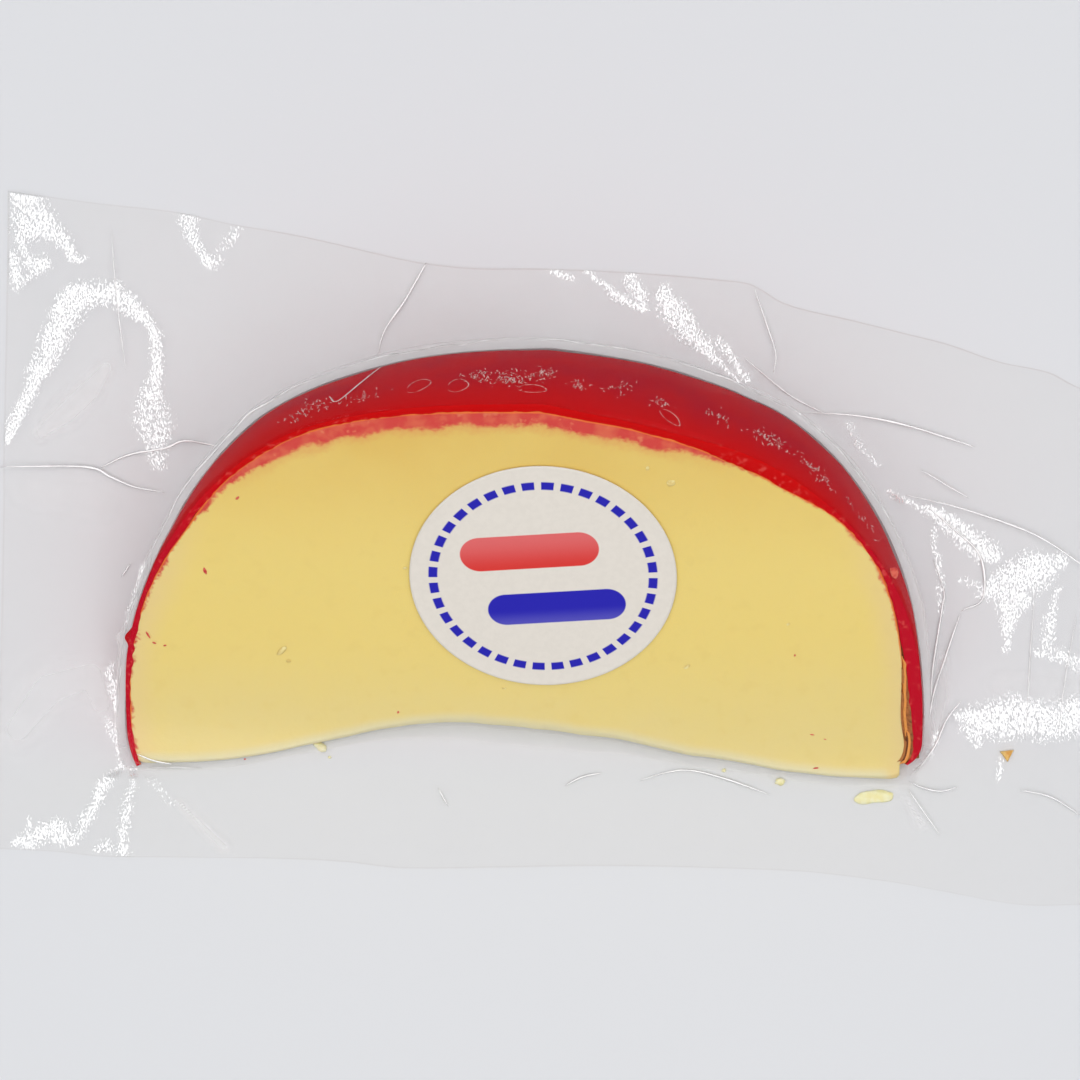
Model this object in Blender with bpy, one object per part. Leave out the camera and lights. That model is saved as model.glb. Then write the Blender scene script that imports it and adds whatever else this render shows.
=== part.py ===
"""A wedge of red-waxed ball cheese, sealed under vacuum in a clear pouch, with a round label.

The ball's pole-to-pole axis lies along X. One cut runs through that axis and is the face that the
wedge lies on. The second cut is the sloping face on top, and a third, hollow cut takes off the thin
edge in front. Units are metres, +Z is up, and the origin is the middle of the pack on the table.
"""

import math

import bmesh
import bpy
from mathutils import Matrix, Vector

# The ball that the wedge was cut from. Its outline is a superellipse turned about X.
BALL_X, BALL_Y = -0.0081, -0.0378
BALL_HALF_LENGTH = 0.0771
BALL_RADIUS = 0.0757
BALL_POWER = 2.45
# How tall the ball stands against its width, at its middle, and how much less towards +X.
BALL_STAND, BALL_STAND_FALL = 1.14, 0.20

# The wax thickens from the left pole to the right one, where the paste has shrunk away from it.
WAX_LEFT, WAX_RIGHT, WAX_BACK = 0.0013, 0.0020, 0.0017
PASTE_GAP, PASTE_GAP_RIGHT = 0.0003, 0.0019

# The sloping cut face: its height over the ball's axis, its two slopes and its least height.
FACE_HEIGHT = 0.0025
FACE_SLOPE = math.radians(34.6)
FACE_LEAN = math.radians(2.2)
FACE_LEAST, FACE_EASE = 0.0022, 0.0030

# The hollow front cut: a straight line between the two corners, bowed back from it.
FRONT_LEFT, FRONT_RIGHT = (-0.0821, -0.0413), (0.0659, -0.0441)
FRONT_BOW = 0.0091
BOW_X, BOW_REACH_LEFT, BOW_REACH_RIGHT = -0.0206, 0.055, 0.079

# The pouch, seen from above: its upper and lower edges as a few points, left to right.
POUCH_BACK = (
    (-0.1080, 0.06915),
    (-0.0440, 0.0580),
    (-0.0200, 0.0546),
    (0.0330, 0.0521),
    (0.1095, 0.0286),
)
POUCH_FRONT = (
    (-0.1101, -0.0581),
    (-0.0470, -0.0622),
    (0.0100, -0.0612),
    (0.0400, -0.0621),
    (0.0890, -0.0688),
    (0.1101, -0.06915),
)
FILM_THICKNESS = 0.0004
FILM_GAP = 0.0006
FILM_RISE = FILM_GAP + FILM_THICKNESS
MARGIN_HEIGHT = 0.0008

# Folds that stand up from the flat margin: start, end, half width and height.
FOLDS = (
    ((-0.1075, 0.0680), (-0.0900, 0.0520), 0.006, 0.0035),
    ((-0.1080, 0.0200), (-0.0960, 0.0470), 0.008, 0.0035),
    ((-0.0960, 0.0470), (-0.0800, 0.0440), 0.008, 0.0040),
    ((-0.0790, 0.0400), (-0.0765, 0.0230), 0.006, 0.0035),
    ((-0.1100, 0.0156), (-0.0800, 0.0110), 0.004, 0.0020),
    ((-0.0860, -0.0430), (-0.0960, -0.0580), 0.006, 0.0030),
    ((-0.0850, -0.0440), (-0.0680, -0.0600), 0.006, 0.0022),
    ((-0.0270, 0.0550), (-0.0360, 0.0400), 0.005, 0.0025),
    ((0.0060, 0.0530), (0.0230, 0.0420), 0.005, 0.0025),
    ((0.0360, 0.0500), (0.0410, 0.0340), 0.005, 0.0028),
    ((0.0500, 0.0270), (0.0800, 0.0200), 0.006, 0.0030),
    ((0.0680, 0.0100), (0.1000, -0.0030), 0.006, 0.0035),
    ((0.0730, -0.0300), (0.1100, -0.0390), 0.009, 0.0045),
    ((0.0660, -0.0460), (0.0900, -0.0660), 0.007, 0.0030),
)
# The folds rise over the first part of the margin, as one share of its width.
FOLD_EASE = 0.25

LABEL_RADIUS = 0.025
LABEL_X, LABEL_Y = -0.0045, -0.0045
LABEL_THICKNESS = 0.0005
LABEL_GAP = 0.0003

# How finely the round shapes are divided.
BALL_RINGS, BALL_STEPS = 30, 72
KNIFE_COLUMNS, KNIFE_ROWS = 30, 8
FILM_RAYS = 96
FACE_STATIONS = (0.0, 0.4, 0.75, 1.0)
DESCENT_STATIONS = 7
MARGIN_STATIONS = (0.04, 0.14, 0.28, 0.42, 0.56, 0.70, 0.85, 1.0)
LABEL_SIDES = 64
CUT_ROOM = 0.010
WELD = 1e-5
SHARP_ANGLE = math.radians(35)
# The film's inner side never moves further than this many lengths of the shortest edge beside it.
FILM_CLAMP = 1.0

# The film's rays start from this point of the cut face, and each is found by halving its length.
HUB = Vector((-0.008, -0.010))
LONGEST_RAY, HALVINGS = 0.2, 40
TOUCHING = 1e-9


def lerp(a, b, t):
    return a + (b - a) * t


def ball_radius_at(x, grow=0.0):
    """The radius at x of the ball, made larger all round by grow, or 0 past its poles."""
    share = abs(x - BALL_X) / (BALL_HALF_LENGTH + grow)
    if share >= 1:
        return 0.0
    return (BALL_RADIUS + grow) * (1 - share**BALL_POWER) ** (1 / BALL_POWER)


def stand_at(x):
    """How much taller than round the ball is at x."""
    return BALL_STAND - BALL_STAND_FALL * (x - BALL_X) / BALL_HALF_LENGTH


def face_height(x, y):
    """Height of the sloping cut face, which eases out to a least height in front."""
    slope = FACE_HEIGHT + (y - BALL_Y) * math.tan(FACE_SLOPE) + (x - BALL_X) * math.tan(FACE_LEAN)
    over = slope - FACE_LEAST
    return FACE_LEAST + (over + math.hypot(over, FACE_EASE)) / 2


def front_chord(x):
    """The straight line between the two front corners, along which the film is stretched."""
    share = (x - FRONT_LEFT[0]) / (FRONT_RIGHT[0] - FRONT_LEFT[0])
    return lerp(FRONT_LEFT[1], FRONT_RIGHT[1], share)


def front_line(x):
    """The hollow front cut, seen from above."""
    bow_reach = BOW_REACH_LEFT if x < BOW_X else BOW_REACH_RIGHT
    share = min(abs(x - BOW_X) / bow_reach, 1)
    return front_chord(x) + FRONT_BOW * math.cos(share * math.pi / 2) ** 2


def wedge_height(x, y, grow=0.0):
    """Height of the whole waxed wedge over the table, made larger all round by grow."""
    radius = ball_radius_at(x, grow)
    if abs(y - BALL_Y) >= radius or y < front_line(x) - grow:
        return 0.0
    ball = stand_at(x) * math.sqrt(radius**2 - (y - BALL_Y) ** 2)
    return min(ball, face_height(x, y) + grow / math.cos(FACE_SLOPE))


def edge_at(points, x):
    """Y of a pouch edge at x, on a smooth curve through its points."""
    last = len(points) - 1
    i = max(k for k in range(last) if k == 0 or points[k][0] <= x)
    before, start = points[max(i - 1, 0)], points[i]
    end, after = points[i + 1], points[min(i + 2, last)]
    width = end[0] - start[0]
    t = (x - start[0]) / width
    slope_in = (end[1] - before[1]) / (end[0] - before[0]) * width
    slope_out = (after[1] - start[1]) / (after[0] - start[0]) * width
    return (
        (2 * t**3 - 3 * t**2 + 1) * start[1]
        + (t**3 - 2 * t**2 + t) * slope_in
        + (3 * t**2 - 2 * t**3) * end[1]
        + (t**3 - t**2) * slope_out
    )


def end_at(front_corner, back_corner, y):
    """X of the pouch's straight end between two corners at y."""
    share = (y - front_corner[1]) / (back_corner[1] - front_corner[1])
    return lerp(front_corner[0], back_corner[0], share)


def in_pouch(x, y):
    """Whether a point lies inside the pouch's outline."""
    left = end_at(POUCH_FRONT[0], POUCH_BACK[0], y)
    right = end_at(POUCH_FRONT[-1], POUCH_BACK[-1], y)
    if not left <= x <= right:
        return False
    return edge_at(POUCH_FRONT, x) <= y <= edge_at(POUCH_BACK, x)


def under_film(x, y):
    """Whether a point lies inside the line where the film comes down to the table."""
    return abs(y - BALL_Y) < ball_radius_at(x, FILM_RISE) and y > front_chord(x) - 2 * FILM_RISE


def reach(direction, inside):
    """How far a ray from the hub goes before it leaves a shape."""
    near, far = 0.0, LONGEST_RAY
    for _ in range(HALVINGS):
        middle = (near + far) / 2
        point = HUB + direction * middle
        if inside(point.x, point.y):
            near = middle
        else:
            far = middle
    return near


def film_on_face(x, y):
    """Height of the film where it lies on the sloping cut face."""
    return face_height(x, y) + FILM_RISE / math.cos(FACE_SLOPE)


def on_face(x, y):
    """Whether the sloping cut face is what shows from above at a point of the wedge."""
    return film_on_face(x, y) <= wedge_height(x, y, FILM_RISE) + TOUCHING


def fold_height(x, y):
    """How far the folds lift the margin at a point."""
    point = Vector((x, y))
    lift = 0.0
    for start, end, width, height in FOLDS:
        start, end = Vector(start), Vector(end)
        along = end - start
        share = min(max((point - start).dot(along) / along.length_squared, 0), 1)
        away = (point - start - along * share).length
        lift += height * math.exp(-((away / width) ** 2))
    return lift


def film_profile(direction):
    """Points of the film along one ray: over the cut face, down to the table, out to the edge."""
    crest = reach(direction, on_face)
    foot = reach(direction, under_film)
    edge = reach(direction, in_pouch)
    points = []
    for share in FACE_STATIONS:
        p = HUB + direction * crest * share
        points.append((p.x, p.y, film_on_face(p.x, p.y)))
    top = points[-1][2]
    for k in range(1, DESCENT_STATIONS + 1):
        share = math.sin(k / DESCENT_STATIONS * math.pi / 2)
        p = HUB + direction * lerp(crest, foot, share)
        stretched = lerp(top, MARGIN_HEIGHT, share)
        points.append((p.x, p.y, max(wedge_height(p.x, p.y, FILM_RISE), stretched)))
    for share in MARGIN_STATIONS:
        p = HUB + direction * lerp(foot, edge, share)
        risen = min(share / FOLD_EASE, 1) * fold_height(p.x, p.y)
        points.append((p.x, p.y, MARGIN_HEIGHT + risen))
    return points


def ray_directions():
    """Directions all round the hub, evenly spread but for those that point straight at a corner."""
    step = math.tau / FILM_RAYS
    ends = (POUCH_BACK[0], POUCH_BACK[-1], POUCH_FRONT[0], POUCH_FRONT[-1], FRONT_LEFT, FRONT_RIGHT)
    corners = [math.atan2(y - HUB.y, x - HUB.x) % math.tau for x, y in ends]
    even = [k * step for k in range(FILM_RAYS)]
    clear = [a for a in even if all(abs(a - corner) > step / 2 for corner in corners)]
    return [Vector((math.cos(a), math.sin(a))) for a in sorted(corners + clear)]


def new_object(name, bm, material):
    mesh = bpy.data.meshes.new(name)
    bmesh.ops.recalc_face_normals(bm, faces=bm.faces)
    bm.to_mesh(mesh)
    bm.free()
    obj = bpy.data.objects.new(name, mesh)
    bpy.context.scene.collection.objects.link(obj)
    if material:
        mesh.materials.append(material)
    return obj


def new_material(name, colour, roughness, alpha=1.0):
    material = bpy.data.materials.new(name)
    material.use_nodes = True
    shader = material.node_tree.nodes["Principled BSDF"]
    shader.inputs["Base Color"].default_value = (*colour, 1)
    shader.inputs["Roughness"].default_value = roughness
    shader.inputs["Metallic"].default_value = 0.0
    shader.inputs["Alpha"].default_value = alpha
    return material


def smooth(obj):
    obj.data.shade_smooth()
    obj.data.set_sharp_from_angle(angle=SHARP_ANGLE)


def hide(obj):
    obj.hide_render = True
    obj.display_type = "WIRE"
    return obj


def ball(name, left, right, radius, material=None):
    """A ball between two poles on the axis, as a superellipse spun about X and stood up."""
    centre, half_length = (left + right) / 2, (right - left) / 2
    bm = bmesh.new()
    profile = []
    for k in range(BALL_RINGS + 1):
        angle = math.pi * k / BALL_RINGS
        along = math.copysign(abs(math.cos(angle)) ** (2 / BALL_POWER), -math.cos(angle))
        x = centre + half_length * along
        out = 0.0 if k in (0, BALL_RINGS) else radius * math.sin(angle) ** (2 / BALL_POWER)
        profile.append(bm.verts.new((x, BALL_Y, out)))
    edges = [bm.edges.new(pair) for pair in zip(profile, profile[1:])]
    bmesh.ops.spin(
        bm,
        geom=profile + edges,
        cent=(0, BALL_Y, 0),
        axis=(1, 0, 0),
        angle=math.tau,
        steps=BALL_STEPS,
        use_duplicate=False,
    )
    bmesh.ops.remove_doubles(bm, verts=bm.verts, dist=WELD)
    for vert in bm.verts:
        vert.co.z *= stand_at(vert.co.x)
    return new_object(name, bm, material)


def knife_block():
    """The block between the three cuts: what it shares with the ball is the wedge."""
    bm = bmesh.new()
    left, right = BALL_X - BALL_HALF_LENGTH - CUT_ROOM, BALL_X + BALL_HALF_LENGTH + CUT_ROOM
    back = BALL_Y + BALL_RADIUS + CUT_ROOM
    floor, top = [], []
    for i in range(KNIFE_COLUMNS + 1):
        x = lerp(left, right, i / KNIFE_COLUMNS)
        front = front_line(x)
        rows = [lerp(front, back, (j / KNIFE_ROWS) ** 2) for j in range(KNIFE_ROWS + 1)]
        floor.append([bm.verts.new((x, y, 0)) for y in rows])
        top.append([bm.verts.new((x, y, face_height(x, y))) for y in rows])
    for i in range(KNIFE_COLUMNS):
        for j in range(KNIFE_ROWS):
            bm.faces.new((top[i][j], top[i + 1][j], top[i + 1][j + 1], top[i][j + 1]))
            bm.faces.new((floor[i][j], floor[i][j + 1], floor[i + 1][j + 1], floor[i + 1][j]))
        for j in (0, KNIFE_ROWS):
            bm.faces.new((floor[i][j], floor[i + 1][j], top[i + 1][j], top[i][j]))
    for i in (0, KNIFE_COLUMNS):
        for j in range(KNIFE_ROWS):
            bm.faces.new((floor[i][j], floor[i][j + 1], top[i][j + 1], top[i][j]))
    return hide(new_object("knife_block", bm, None))


def boolean(obj, other, operation):
    modifier = obj.modifiers.new(f"{operation.lower()} {other.name}", "BOOLEAN")
    modifier.operation = operation
    modifier.solver = "EXACT"
    modifier.object = other


def cheese(block):
    """The paste of the wedge."""
    left = BALL_X - BALL_HALF_LENGTH + WAX_LEFT + PASTE_GAP
    right = BALL_X + BALL_HALF_LENGTH - WAX_RIGHT - PASTE_GAP_RIGHT
    material = new_material("cheese paste", (0.77, 0.60, 0.18), 0.45)
    obj = ball("cheese", left, right, BALL_RADIUS - WAX_BACK - PASTE_GAP, material)
    boolean(obj, block, "INTERSECT")
    smooth(obj)


def wax_coat(block):
    """The poured wax on the round back, cut through with the paste."""
    left, right = BALL_X - BALL_HALF_LENGTH, BALL_X + BALL_HALF_LENGTH
    material = new_material("red wax", (0.42, 0.02, 0.02), 0.28)
    obj = ball("wax_coat", left, right, BALL_RADIUS, material)
    inner = hide(ball("wax_inside", left + WAX_LEFT, right - WAX_RIGHT, BALL_RADIUS - WAX_BACK))
    boolean(obj, inner, "DIFFERENCE")
    boolean(obj, block, "INTERSECT")
    smooth(obj)


def vacuum_bag():
    """The clear pouch: drawn tight over the wedge, with a flat creased margin all round it."""
    bm = bmesh.new()
    rows = []
    for direction in ray_directions():
        rows.append([bm.verts.new(point) for point in film_profile(direction)[1:]])
    hub = bm.verts.new((*HUB, film_profile(Vector((1, 0)))[0][2]))
    for row, following in zip(rows, rows[1:] + rows[:1]):
        bm.faces.new((hub, row[0], following[0]))
        for j in range(len(row) - 1):
            bm.faces.new((row[j], row[j + 1], following[j + 1], following[j]))
    material = new_material("clear film", (0.85, 0.85, 0.86), 0.08, alpha=0.35)
    obj = new_object("vacuum_bag", bm, material)
    if obj.data.polygons[0].normal.z < 0:
        obj.data.flip_normals()
    solidify = obj.modifiers.new("film thickness", "SOLIDIFY")
    solidify.thickness = FILM_THICKNESS
    solidify.offset = -1
    solidify.use_even_offset = True
    solidify.thickness_clamp = FILM_CLAMP
    smooth(obj)


def label():
    """The round paper label, stuck on the film over the sloping cut face."""
    bm = bmesh.new()
    bmesh.ops.create_cone(
        bm,
        cap_ends=True,
        segments=LABEL_SIDES,
        radius1=LABEL_RADIUS,
        radius2=LABEL_RADIUS,
        depth=LABEL_THICKNESS,
    )
    obj = new_object("label", bm, new_material("label paper", (0.77, 0.72, 0.67), 0.7))
    normal = Vector((-math.tan(FACE_LEAN), -math.tan(FACE_SLOPE), 1)).normalized()
    above = FILM_RISE + LABEL_GAP + LABEL_THICKNESS / 2
    place = Vector((LABEL_X, LABEL_Y, face_height(LABEL_X, LABEL_Y))) + normal * above
    turn = Vector((0, 0, 1)).rotation_difference(normal).to_matrix().to_4x4()
    obj.matrix_world = Matrix.Translation(place) @ turn
    smooth(obj)


def main():
    for obj in list(bpy.data.objects):
        bpy.data.objects.remove(obj)
    block = knife_block()
    cheese(block)
    wax_coat(block)
    vacuum_bag()
    label()


main()
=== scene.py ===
"""Looks of the vacuum-packed wedge of waxed ball cheese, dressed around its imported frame.

Everything is in metres in the frame of the CAD: X along the ball's pole-to-pole axis, Y towards the
round back, Z up. Lengths in named rows are in millimetres where MM follows them.
"""

import math

import bpy
import numpy as np
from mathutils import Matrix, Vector
from mathutils.bvhtree import BVHTree


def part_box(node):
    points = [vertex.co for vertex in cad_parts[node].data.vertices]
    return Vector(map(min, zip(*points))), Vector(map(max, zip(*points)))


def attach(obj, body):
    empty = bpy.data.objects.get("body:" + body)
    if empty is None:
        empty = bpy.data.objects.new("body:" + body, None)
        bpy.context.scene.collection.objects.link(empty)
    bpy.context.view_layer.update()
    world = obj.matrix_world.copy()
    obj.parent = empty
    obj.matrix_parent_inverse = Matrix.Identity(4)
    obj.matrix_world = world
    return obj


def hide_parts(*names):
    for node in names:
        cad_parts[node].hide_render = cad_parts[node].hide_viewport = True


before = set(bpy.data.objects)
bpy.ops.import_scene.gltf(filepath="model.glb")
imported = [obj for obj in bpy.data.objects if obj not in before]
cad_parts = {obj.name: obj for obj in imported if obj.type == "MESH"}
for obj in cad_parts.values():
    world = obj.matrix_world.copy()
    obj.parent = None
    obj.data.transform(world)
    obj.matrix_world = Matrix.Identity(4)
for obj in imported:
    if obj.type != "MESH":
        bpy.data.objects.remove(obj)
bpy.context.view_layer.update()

MM = 0.001
WAX_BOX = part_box("wax_coat")
BAG_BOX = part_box("vacuum_bag")
LABEL_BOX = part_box("label")

# --- The wedge, as in the CAD ------------------------------------------------------------------

BALL_POWER = 2.45
BALL_RADIUS = 0.0757
BALL_X = (WAX_BOX[0][0] + WAX_BOX[1][0]) / 2
BALL_HALF = (WAX_BOX[1][0] - WAX_BOX[0][0]) / 2
BALL_Y = WAX_BOX[1][1] - BALL_RADIUS
STAND, STAND_FALL = 1.14, 0.20

FACE_HEIGHT = 0.0025
FACE_SLOPE = math.radians(34.6)
FACE_LEAN = math.radians(2.2)
FACE_LEAST, FACE_EASE = 0.0022, 0.0030

FRONT_LEFT, FRONT_RIGHT = (-0.0821, -0.0413), (0.0659, -0.0441)
FRONT_BOW = 0.0091
BOW_X, BOW_LEFT, BOW_RIGHT = -0.0206, 0.055, 0.079

# The pouch's long edges run through the CAD's corners, with more of their slight waves.
POUCH_BACK = (
    (-0.1080, 0.06915), (-0.0902, 0.0668), (-0.0757, 0.0652), (-0.0650, 0.0629), (-0.0515, 0.0606),
    (-0.0322, 0.0562), (-0.0264, 0.0552), (-0.0177, 0.0544), (-0.0051, 0.0543), (0.0162, 0.0533),
    (0.0310, 0.0520), (0.0355, 0.0513), (0.0384, 0.0498), (0.0413, 0.0480), (0.0452, 0.0466),
    (0.0548, 0.0444), (0.0645, 0.0420), (0.0742, 0.0395), (0.0838, 0.0362), (0.0935, 0.0341),
    (0.0993, 0.0312), (0.1095, 0.0286),
)
POUCH_FRONT = (
    (-0.1101, -0.0581), (-0.0979, -0.0587), (-0.0902, -0.0596), (-0.0708, -0.0598), (-0.0515, -0.0602),
    (-0.0418, -0.0608), (-0.0322, -0.0619), (-0.0128, -0.0618), (0.0065, -0.0615), (0.0258, -0.0618),
    (0.0452, -0.0625), (0.0548, -0.0635), (0.0645, -0.0648), (0.0742, -0.0666), (0.0877, -0.0689),
    (0.0990, -0.0690), (0.1101, -0.06915),
)
HUB = np.array((-0.008, -0.010))


def lerp(a, b, t):
    return a + (b - a) * t


def ease(t):
    """Smooth step from 0 to 1."""
    t = np.clip(t, 0, 1)
    return t * t * (3 - 2 * t)


def value_noise(x, y, scale, seed):
    """Smooth random values between -1 and 1 on a lattice of the given spacing."""
    lattice = np.random.default_rng(seed).uniform(-1, 1, (64, 64))
    u, v = x / scale, y / scale
    i, j = np.floor(u).astype(int), np.floor(v).astype(int)
    s, t = ease(u - i), ease(v - j)
    near = lerp(lattice[i % 64, j % 64], lattice[(i + 1) % 64, j % 64], s)
    far = lerp(lattice[i % 64, (j + 1) % 64], lattice[(i + 1) % 64, (j + 1) % 64], s)
    return lerp(near, far, t)


def ball_radius(x, half=BALL_HALF, radius=BALL_RADIUS, centre=BALL_X):
    share = np.minimum(np.abs(x - centre) / half, 1)
    return radius * (1 - share**BALL_POWER) ** (1 / BALL_POWER)


def stand(x):
    return STAND - STAND_FALL * (x - BALL_X) / BALL_HALF


def ball_height(x, y, **size):
    """Height of a ball over the table at a point, 0 outside it."""
    radius = ball_radius(x, **size)
    return stand(x) * np.sqrt(np.maximum(radius**2 - (y - BALL_Y) ** 2, 0))


def face_height(x, y):
    slope = FACE_HEIGHT + (y - BALL_Y) * math.tan(FACE_SLOPE) + (x - BALL_X) * math.tan(FACE_LEAN)
    over = slope - FACE_LEAST
    return FACE_LEAST + (over + np.hypot(over, FACE_EASE)) / 2


def front_chord(x):
    share = (x - FRONT_LEFT[0]) / (FRONT_RIGHT[0] - FRONT_LEFT[0])
    return lerp(FRONT_LEFT[1], FRONT_RIGHT[1], share)


def front_line(x):
    bow_reach = np.where(x < BOW_X, BOW_LEFT, BOW_RIGHT)
    share = np.minimum(np.abs(x - BOW_X) / bow_reach, 1)
    return front_chord(x) + FRONT_BOW * np.cos(share * math.pi / 2) ** 2


def edge_at(points, x):
    """Y of a pouch edge at x, on a smooth curve through its points."""
    xs, ys = np.array(points).T
    last = len(xs) - 1
    i = np.clip(np.searchsorted(xs, x, side="right") - 1, 0, last - 1)
    before, after = np.maximum(i - 1, 0), np.minimum(i + 2, last)
    width = xs[i + 1] - xs[i]
    t = (x - xs[i]) / width
    slope_in = (ys[i + 1] - ys[before]) / (xs[i + 1] - xs[before]) * width
    slope_out = (ys[after] - ys[i]) / (xs[after] - xs[i]) * width
    return (
        (2 * t**3 - 3 * t**2 + 1) * ys[i] + (t**3 - 2 * t**2 + t) * slope_in
        + (3 * t**2 - 2 * t**3) * ys[i + 1] + (t**3 - t**2) * slope_out
    )


def in_pouch(x, y):
    def end(front, back):
        return lerp(front[0], back[0], (y - front[1]) / (back[1] - front[1]))

    sides = (x >= end(POUCH_FRONT[0], POUCH_BACK[0])) & (x <= end(POUCH_FRONT[-1], POUCH_BACK[-1]))
    return sides & (y >= edge_at(POUCH_FRONT, x)) & (y <= edge_at(POUCH_BACK, x))


def reach(angles, inside, longest=0.2):
    """How far rays from the hub go before they leave a shape."""
    near, far = np.zeros_like(angles), np.full_like(angles, longest)
    for _ in range(36):
        middle = (near + far) / 2
        hit = inside(HUB[0] + np.cos(angles) * middle, HUB[1] + np.sin(angles) * middle)
        near, far = np.where(hit, middle, near), np.where(hit, far, middle)
    return near


def blur_ring(values, reach_steps):
    """Values all round the hub, averaged with their neighbours."""
    if reach_steps < 1:
        return values
    offsets = np.arange(-3 * reach_steps, 3 * reach_steps + 1)
    weights = np.exp(-0.5 * (offsets / reach_steps) ** 2)
    total = sum(w * np.roll(values, k) for w, k in zip(weights, offsets))
    return total / weights.sum()


# --- Mesh helpers --------------------------------------------------------------------------------


def new_object(name, points, faces):
    mesh = bpy.data.meshes.new(name)
    mesh.from_pydata(points.tolist(), [], faces)
    mesh.validate()
    corners = np.array([points[f[0]] for f in faces]), np.array([points[f[1]] for f in faces])
    ends = np.array([points[f[2]] for f in faces]), np.array([points[f[-1]] for f in faces])
    volume = np.einsum("ij,ij->i", corners[0], np.cross(corners[1], ends[0])).sum()
    volume += np.einsum("ij,ij->i", corners[0], np.cross(ends[0], ends[1])).sum()
    if volume < 0:
        mesh.flip_normals()
    mesh.shade_smooth()
    obj = bpy.data.objects.new(name, mesh)
    bpy.context.scene.collection.objects.link(obj)
    return obj


def shell_parts(grid):
    """A closed body from rays of points that run from a top point out, down and in to a bottom point."""
    rays, stations = grid.shape[:2]
    top, bottom = grid[:, 0].mean(axis=0), grid[:, -1].mean(axis=0)
    inner = grid[:, 1:-1]
    count = stations - 2
    points = np.concatenate([inner.reshape(-1, 3), [top, bottom]])
    faces = []
    for i in range(rays):
        a, b = i * count, (i + 1) % rays * count
        faces.append((rays * count, a, b))
        faces.extend((a + j, a + j + 1, b + j + 1, b + j) for j in range(count - 1))
        faces.append((rays * count + 1, b + count - 1, a + count - 1))
    return points, faces


def bar_parts(grid):
    """A closed body from loops of points in a row, with an end cap on the first and last loop."""
    loops, around = grid.shape[:2]
    ends = grid[[0, -1]].mean(axis=1)
    points = np.concatenate([grid.reshape(-1, 3), ends])
    faces = []
    for i in range(loops - 1):
        a, b = i * around, (i + 1) * around
        for j in range(around):
            k = (j + 1) % around
            faces.append((a + j, b + j, b + k, a + k))
    last = (loops - 1) * around
    for j in range(around):
        k = (j + 1) % around
        faces.append((loops * around, j, k))
        faces.append((loops * around + 1, last + k, last + j))
    return points, faces


def shell(name, grid):
    return new_object(name, *shell_parts(grid))


def bar(name, grid):
    return new_object(name, *bar_parts(grid))


def paint(obj, name, values):
    """A number for every point of a mesh, read by its material."""
    attribute = obj.data.attributes.new(name, "FLOAT", "POINT")
    attribute.data.foreach_set("value", np.asarray(values, dtype=np.float32))


def points_of(obj):
    flat = np.empty(len(obj.data.vertices) * 3)
    obj.data.vertices.foreach_get("co", flat)
    return flat.reshape(-1, 3)


def distance_to_line(x, y, line):
    """How far points are from a polyline seen from above, the share along it, and their side of it."""
    best = np.full(x.shape, np.inf)
    share, side = np.zeros(x.shape), np.ones(x.shape)
    steps = len(line) - 1
    for k, (start, end) in enumerate(zip(line, line[1:])):
        dx, dy = end[0] - start[0], end[1] - start[1]
        t = np.clip(((x - start[0]) * dx + (y - start[1]) * dy) / (dx * dx + dy * dy), 0, 1)
        away = np.hypot(x - start[0] - t * dx, y - start[1] - t * dy)
        left = np.sign(dx * (y - start[1]) - dy * (x - start[0]))
        share = np.where(away < best, (k + t) / steps, share)
        side = np.where(away < best, left, side)
        best = np.minimum(best, away)
    return best, share, side


# --- Material helpers ----------------------------------------------------------------------------


def srgb(red, green, blue):
    """A display colour of 0 to 255 as linear light."""
    def linear(c):
        c /= 255
        return c / 12.92 if c <= 0.04045 else ((c + 0.055) / 1.055) ** 2.4

    return linear(red), linear(green), linear(blue), 1.0


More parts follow.
